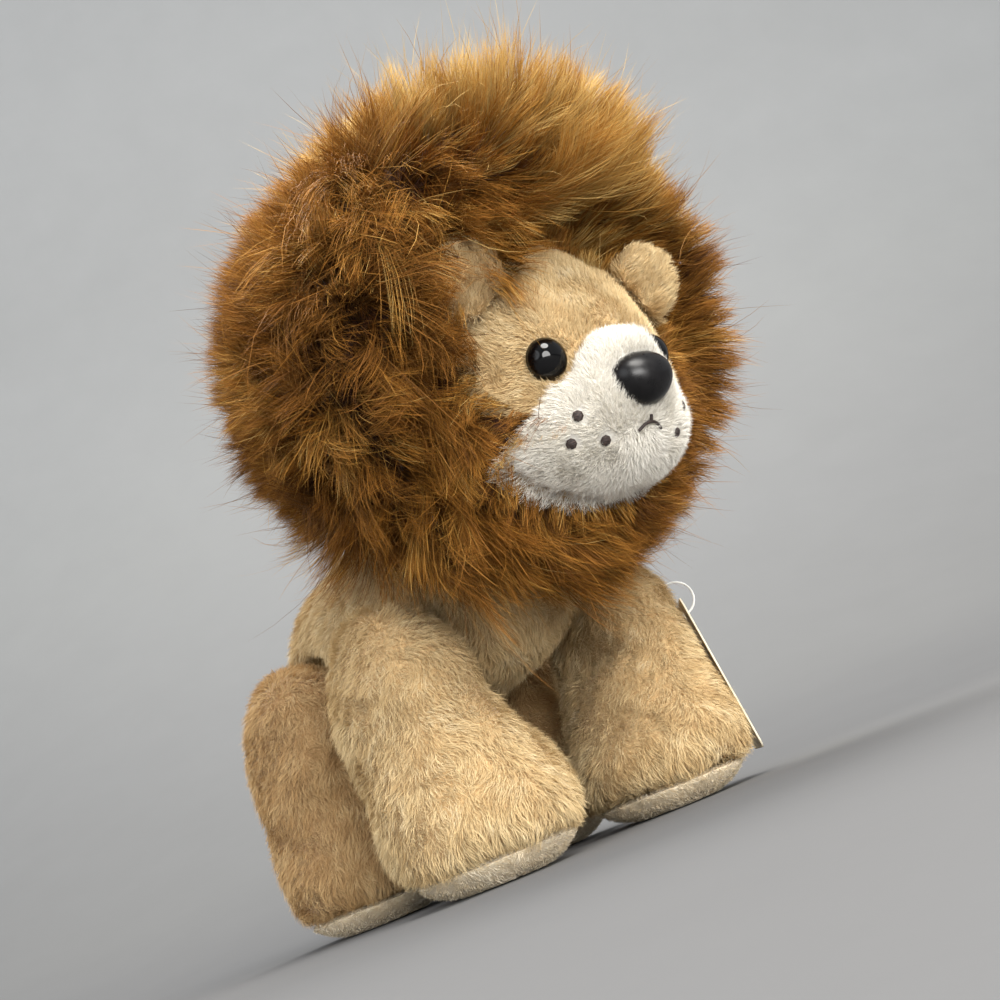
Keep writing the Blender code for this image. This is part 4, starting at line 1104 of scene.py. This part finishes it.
def button_axis(node):
    """The outer end and the outward direction of a safety button, taken from its round washer."""
    washer = node.replace("eye_", "eye_washer_") if node.startswith("eye_") else node + "_washer"
    ring = np.array([vert.co for vert in frame["nodes"][washer].data.vertices])
    middle = ring.mean(axis=0)
    outward = np.linalg.svd(ring - middle)[2][2]
    outward *= np.sign(outward @ (middle - node_middle("head")))
    points = np.array([vert.co for vert in frame["nodes"][node].data.vertices])
    return Vector(middle + outward * ((points - middle) @ outward).max()), Vector(outward)


def dress_node(node, look):
    """Give a CAD node that keeps its own shape its finished material."""
    item = frame["nodes"][node]
    item.data.materials.clear()
    item.data.materials.append(looks[look])


def make_dome(node, radius, height, look, taper=0.0, flat=1.0, sink=0.0):
    """A polished dome in a button's place, round or drawn to a rounded triangle."""
    top, depth = button_axis(node)
    side = Vector((0, 0, 1)).cross(depth).normalized()
    lift = depth.cross(side)
    bm = bmesh.new()
    bmesh.ops.create_uvsphere(bm, u_segments=DOME_SIDES, v_segments=DOME_RINGS, radius=1)
    for vert in bm.verts:
        x, y, z = vert.co
        rise = z * height if z > 0 else z * height * DOME_BACK
        vert.co = Vector((x * radius * (1 + taper * y), y * radius * flat, rise))
    turn = Matrix((side, lift, depth)).transposed().to_4x4()
    seated = Matrix.Translation(top - depth * (height + sink)) @ turn
    bmesh.ops.transform(bm, matrix=seated, verts=bm.verts)
    data = bpy.data.meshes.new(node + "_dome")
    bm.to_mesh(data)
    bm.free()
    data.shade_smooth()
    piece = add(node + "_dome", data, look)
    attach(piece, "head")
    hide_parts(node)


def make_features():
    """Eyes, nose, embroidery, washers, card and loop."""
    for word in ("left", "right"):
        make_dome("eye_" + word, EYE_RADIUS, EYE_HEIGHT, "eye", sink=EYE_DEPTH)
        dress_node("eye_washer_" + word, "washer")
        for number in (1, 2, 3):
            dress_node(f"whisker_dot_{word}_{number}", "thread")
    make_dome("nose", NOSE_RADIUS, NOSE_HEIGHT, "nose", NOSE_TAPER, NOSE_FLAT)
    dress_node("nose_washer", "washer")
    dress_node("mouth_stitch", "thread")
    dress_node("hang_tag", "card")
    dress_node("tag_fastener", "loop")


# Camera, light and stage


def make_camera():
    """The camera at the photograph's place and angle."""
    data = bpy.data.cameras.new("photo_camera")
    data.sensor_fit = "HORIZONTAL"
    data.sensor_width = SENSOR_WIDTH
    data.lens = SENSOR_WIDTH * FOCAL_SHARE
    data.clip_start = 0.01
    camera = bpy.data.objects.new("photo_camera", data)
    bpy.context.scene.collection.objects.link(camera)
    turn = Matrix(view_axes()).transposed().to_4x4()
    camera.matrix_world = Matrix.Translation(CAMERA_PLACE) @ turn
    bpy.context.scene.camera = camera


def add_lamp(name, place, target, size, power, colour):
    """A soft round lamp aimed at a point."""
    data = bpy.data.lights.new(name, "AREA")
    data.shape = "DISK"
    data.size = size
    data.energy = power
    data.color = colour
    lamp = bpy.data.objects.new(name, data)
    bpy.context.scene.collection.objects.link(lamp)
    lamp.location = place
    lamp.rotation_euler = (Vector(target) - Vector(place)).to_track_quat("-Z", "Y").to_euler()


def make_sweep():
    """A pale floor that curves up into a pale wall."""
    profile = [(-SWEEP_REACH, 0.0), (SWEEP_START, 0.0)]
    for step in range(1, SWEEP_STEPS + 1):
        angle = math.pi / 2 * step / SWEEP_STEPS
        reach = SWEEP_START + SWEEP_BEND * math.sin(angle)
        profile.append((reach, SWEEP_BEND - SWEEP_BEND * math.cos(angle)))
    profile.append((SWEEP_START + SWEEP_BEND, SWEEP_REACH))
    bm = bmesh.new()
    rows = [[bm.verts.new((x, y, z)) for y, z in profile] for x in (-SWEEP_REACH, SWEEP_REACH)]
    for index in range(len(profile) - 1):
        bm.faces.new((rows[0][index], rows[1][index], rows[1][index + 1], rows[0][index + 1]))
    bmesh.ops.rotate(bm, verts=bm.verts, matrix=Matrix.Rotation(CAMERA_AZIMUTH, 3, "Z"))
    data = bpy.data.meshes.new("studio_sweep")
    bm.to_mesh(data)
    bm.free()
    data.shade_smooth()
    looks["stage"] = stage_look("studio_pale", STAGE_TONES, STAGE_TOP)
    add("studio_sweep", data, "stage")


def make_air():
    """The soft light all round, and the plain grey that is seen behind the sweep."""
    world = bpy.data.worlds.new("studio_air")
    world.use_nodes = True
    nodes, links = world.node_tree.nodes, world.node_tree.links
    rays = nodes.new("ShaderNodeLightPath")
    seen = rays.outputs["Is Camera Ray"]
    for name in ("Is Glossy Ray", "Is Transmission Ray"):
        either = nodes.new("ShaderNodeMath")
        either.operation = "MAXIMUM"
        links.new(seen, either.inputs[0])
        links.new(rays.outputs[name], either.inputs[1])
        seen = either.outputs["Value"]
    backdrop = mixed(nodes, links, "MIX", 1.0, AIR_LIGHT, linear(*AIR_SEEN))
    links.new(seen, backdrop.node.inputs["Factor"])
    links.new(backdrop, nodes["Background"].inputs["Color"])
    bpy.context.scene.world = world


make_camera()
make_sweep()
make_air()
for lamp in LAMPS:
    add_lamp(*lamp)
bpy.context.scene.view_settings.view_transform = "Standard"

make_body()
make_face()
make_mane(bpy.data.objects["head_cover"])
make_tail()
make_features()
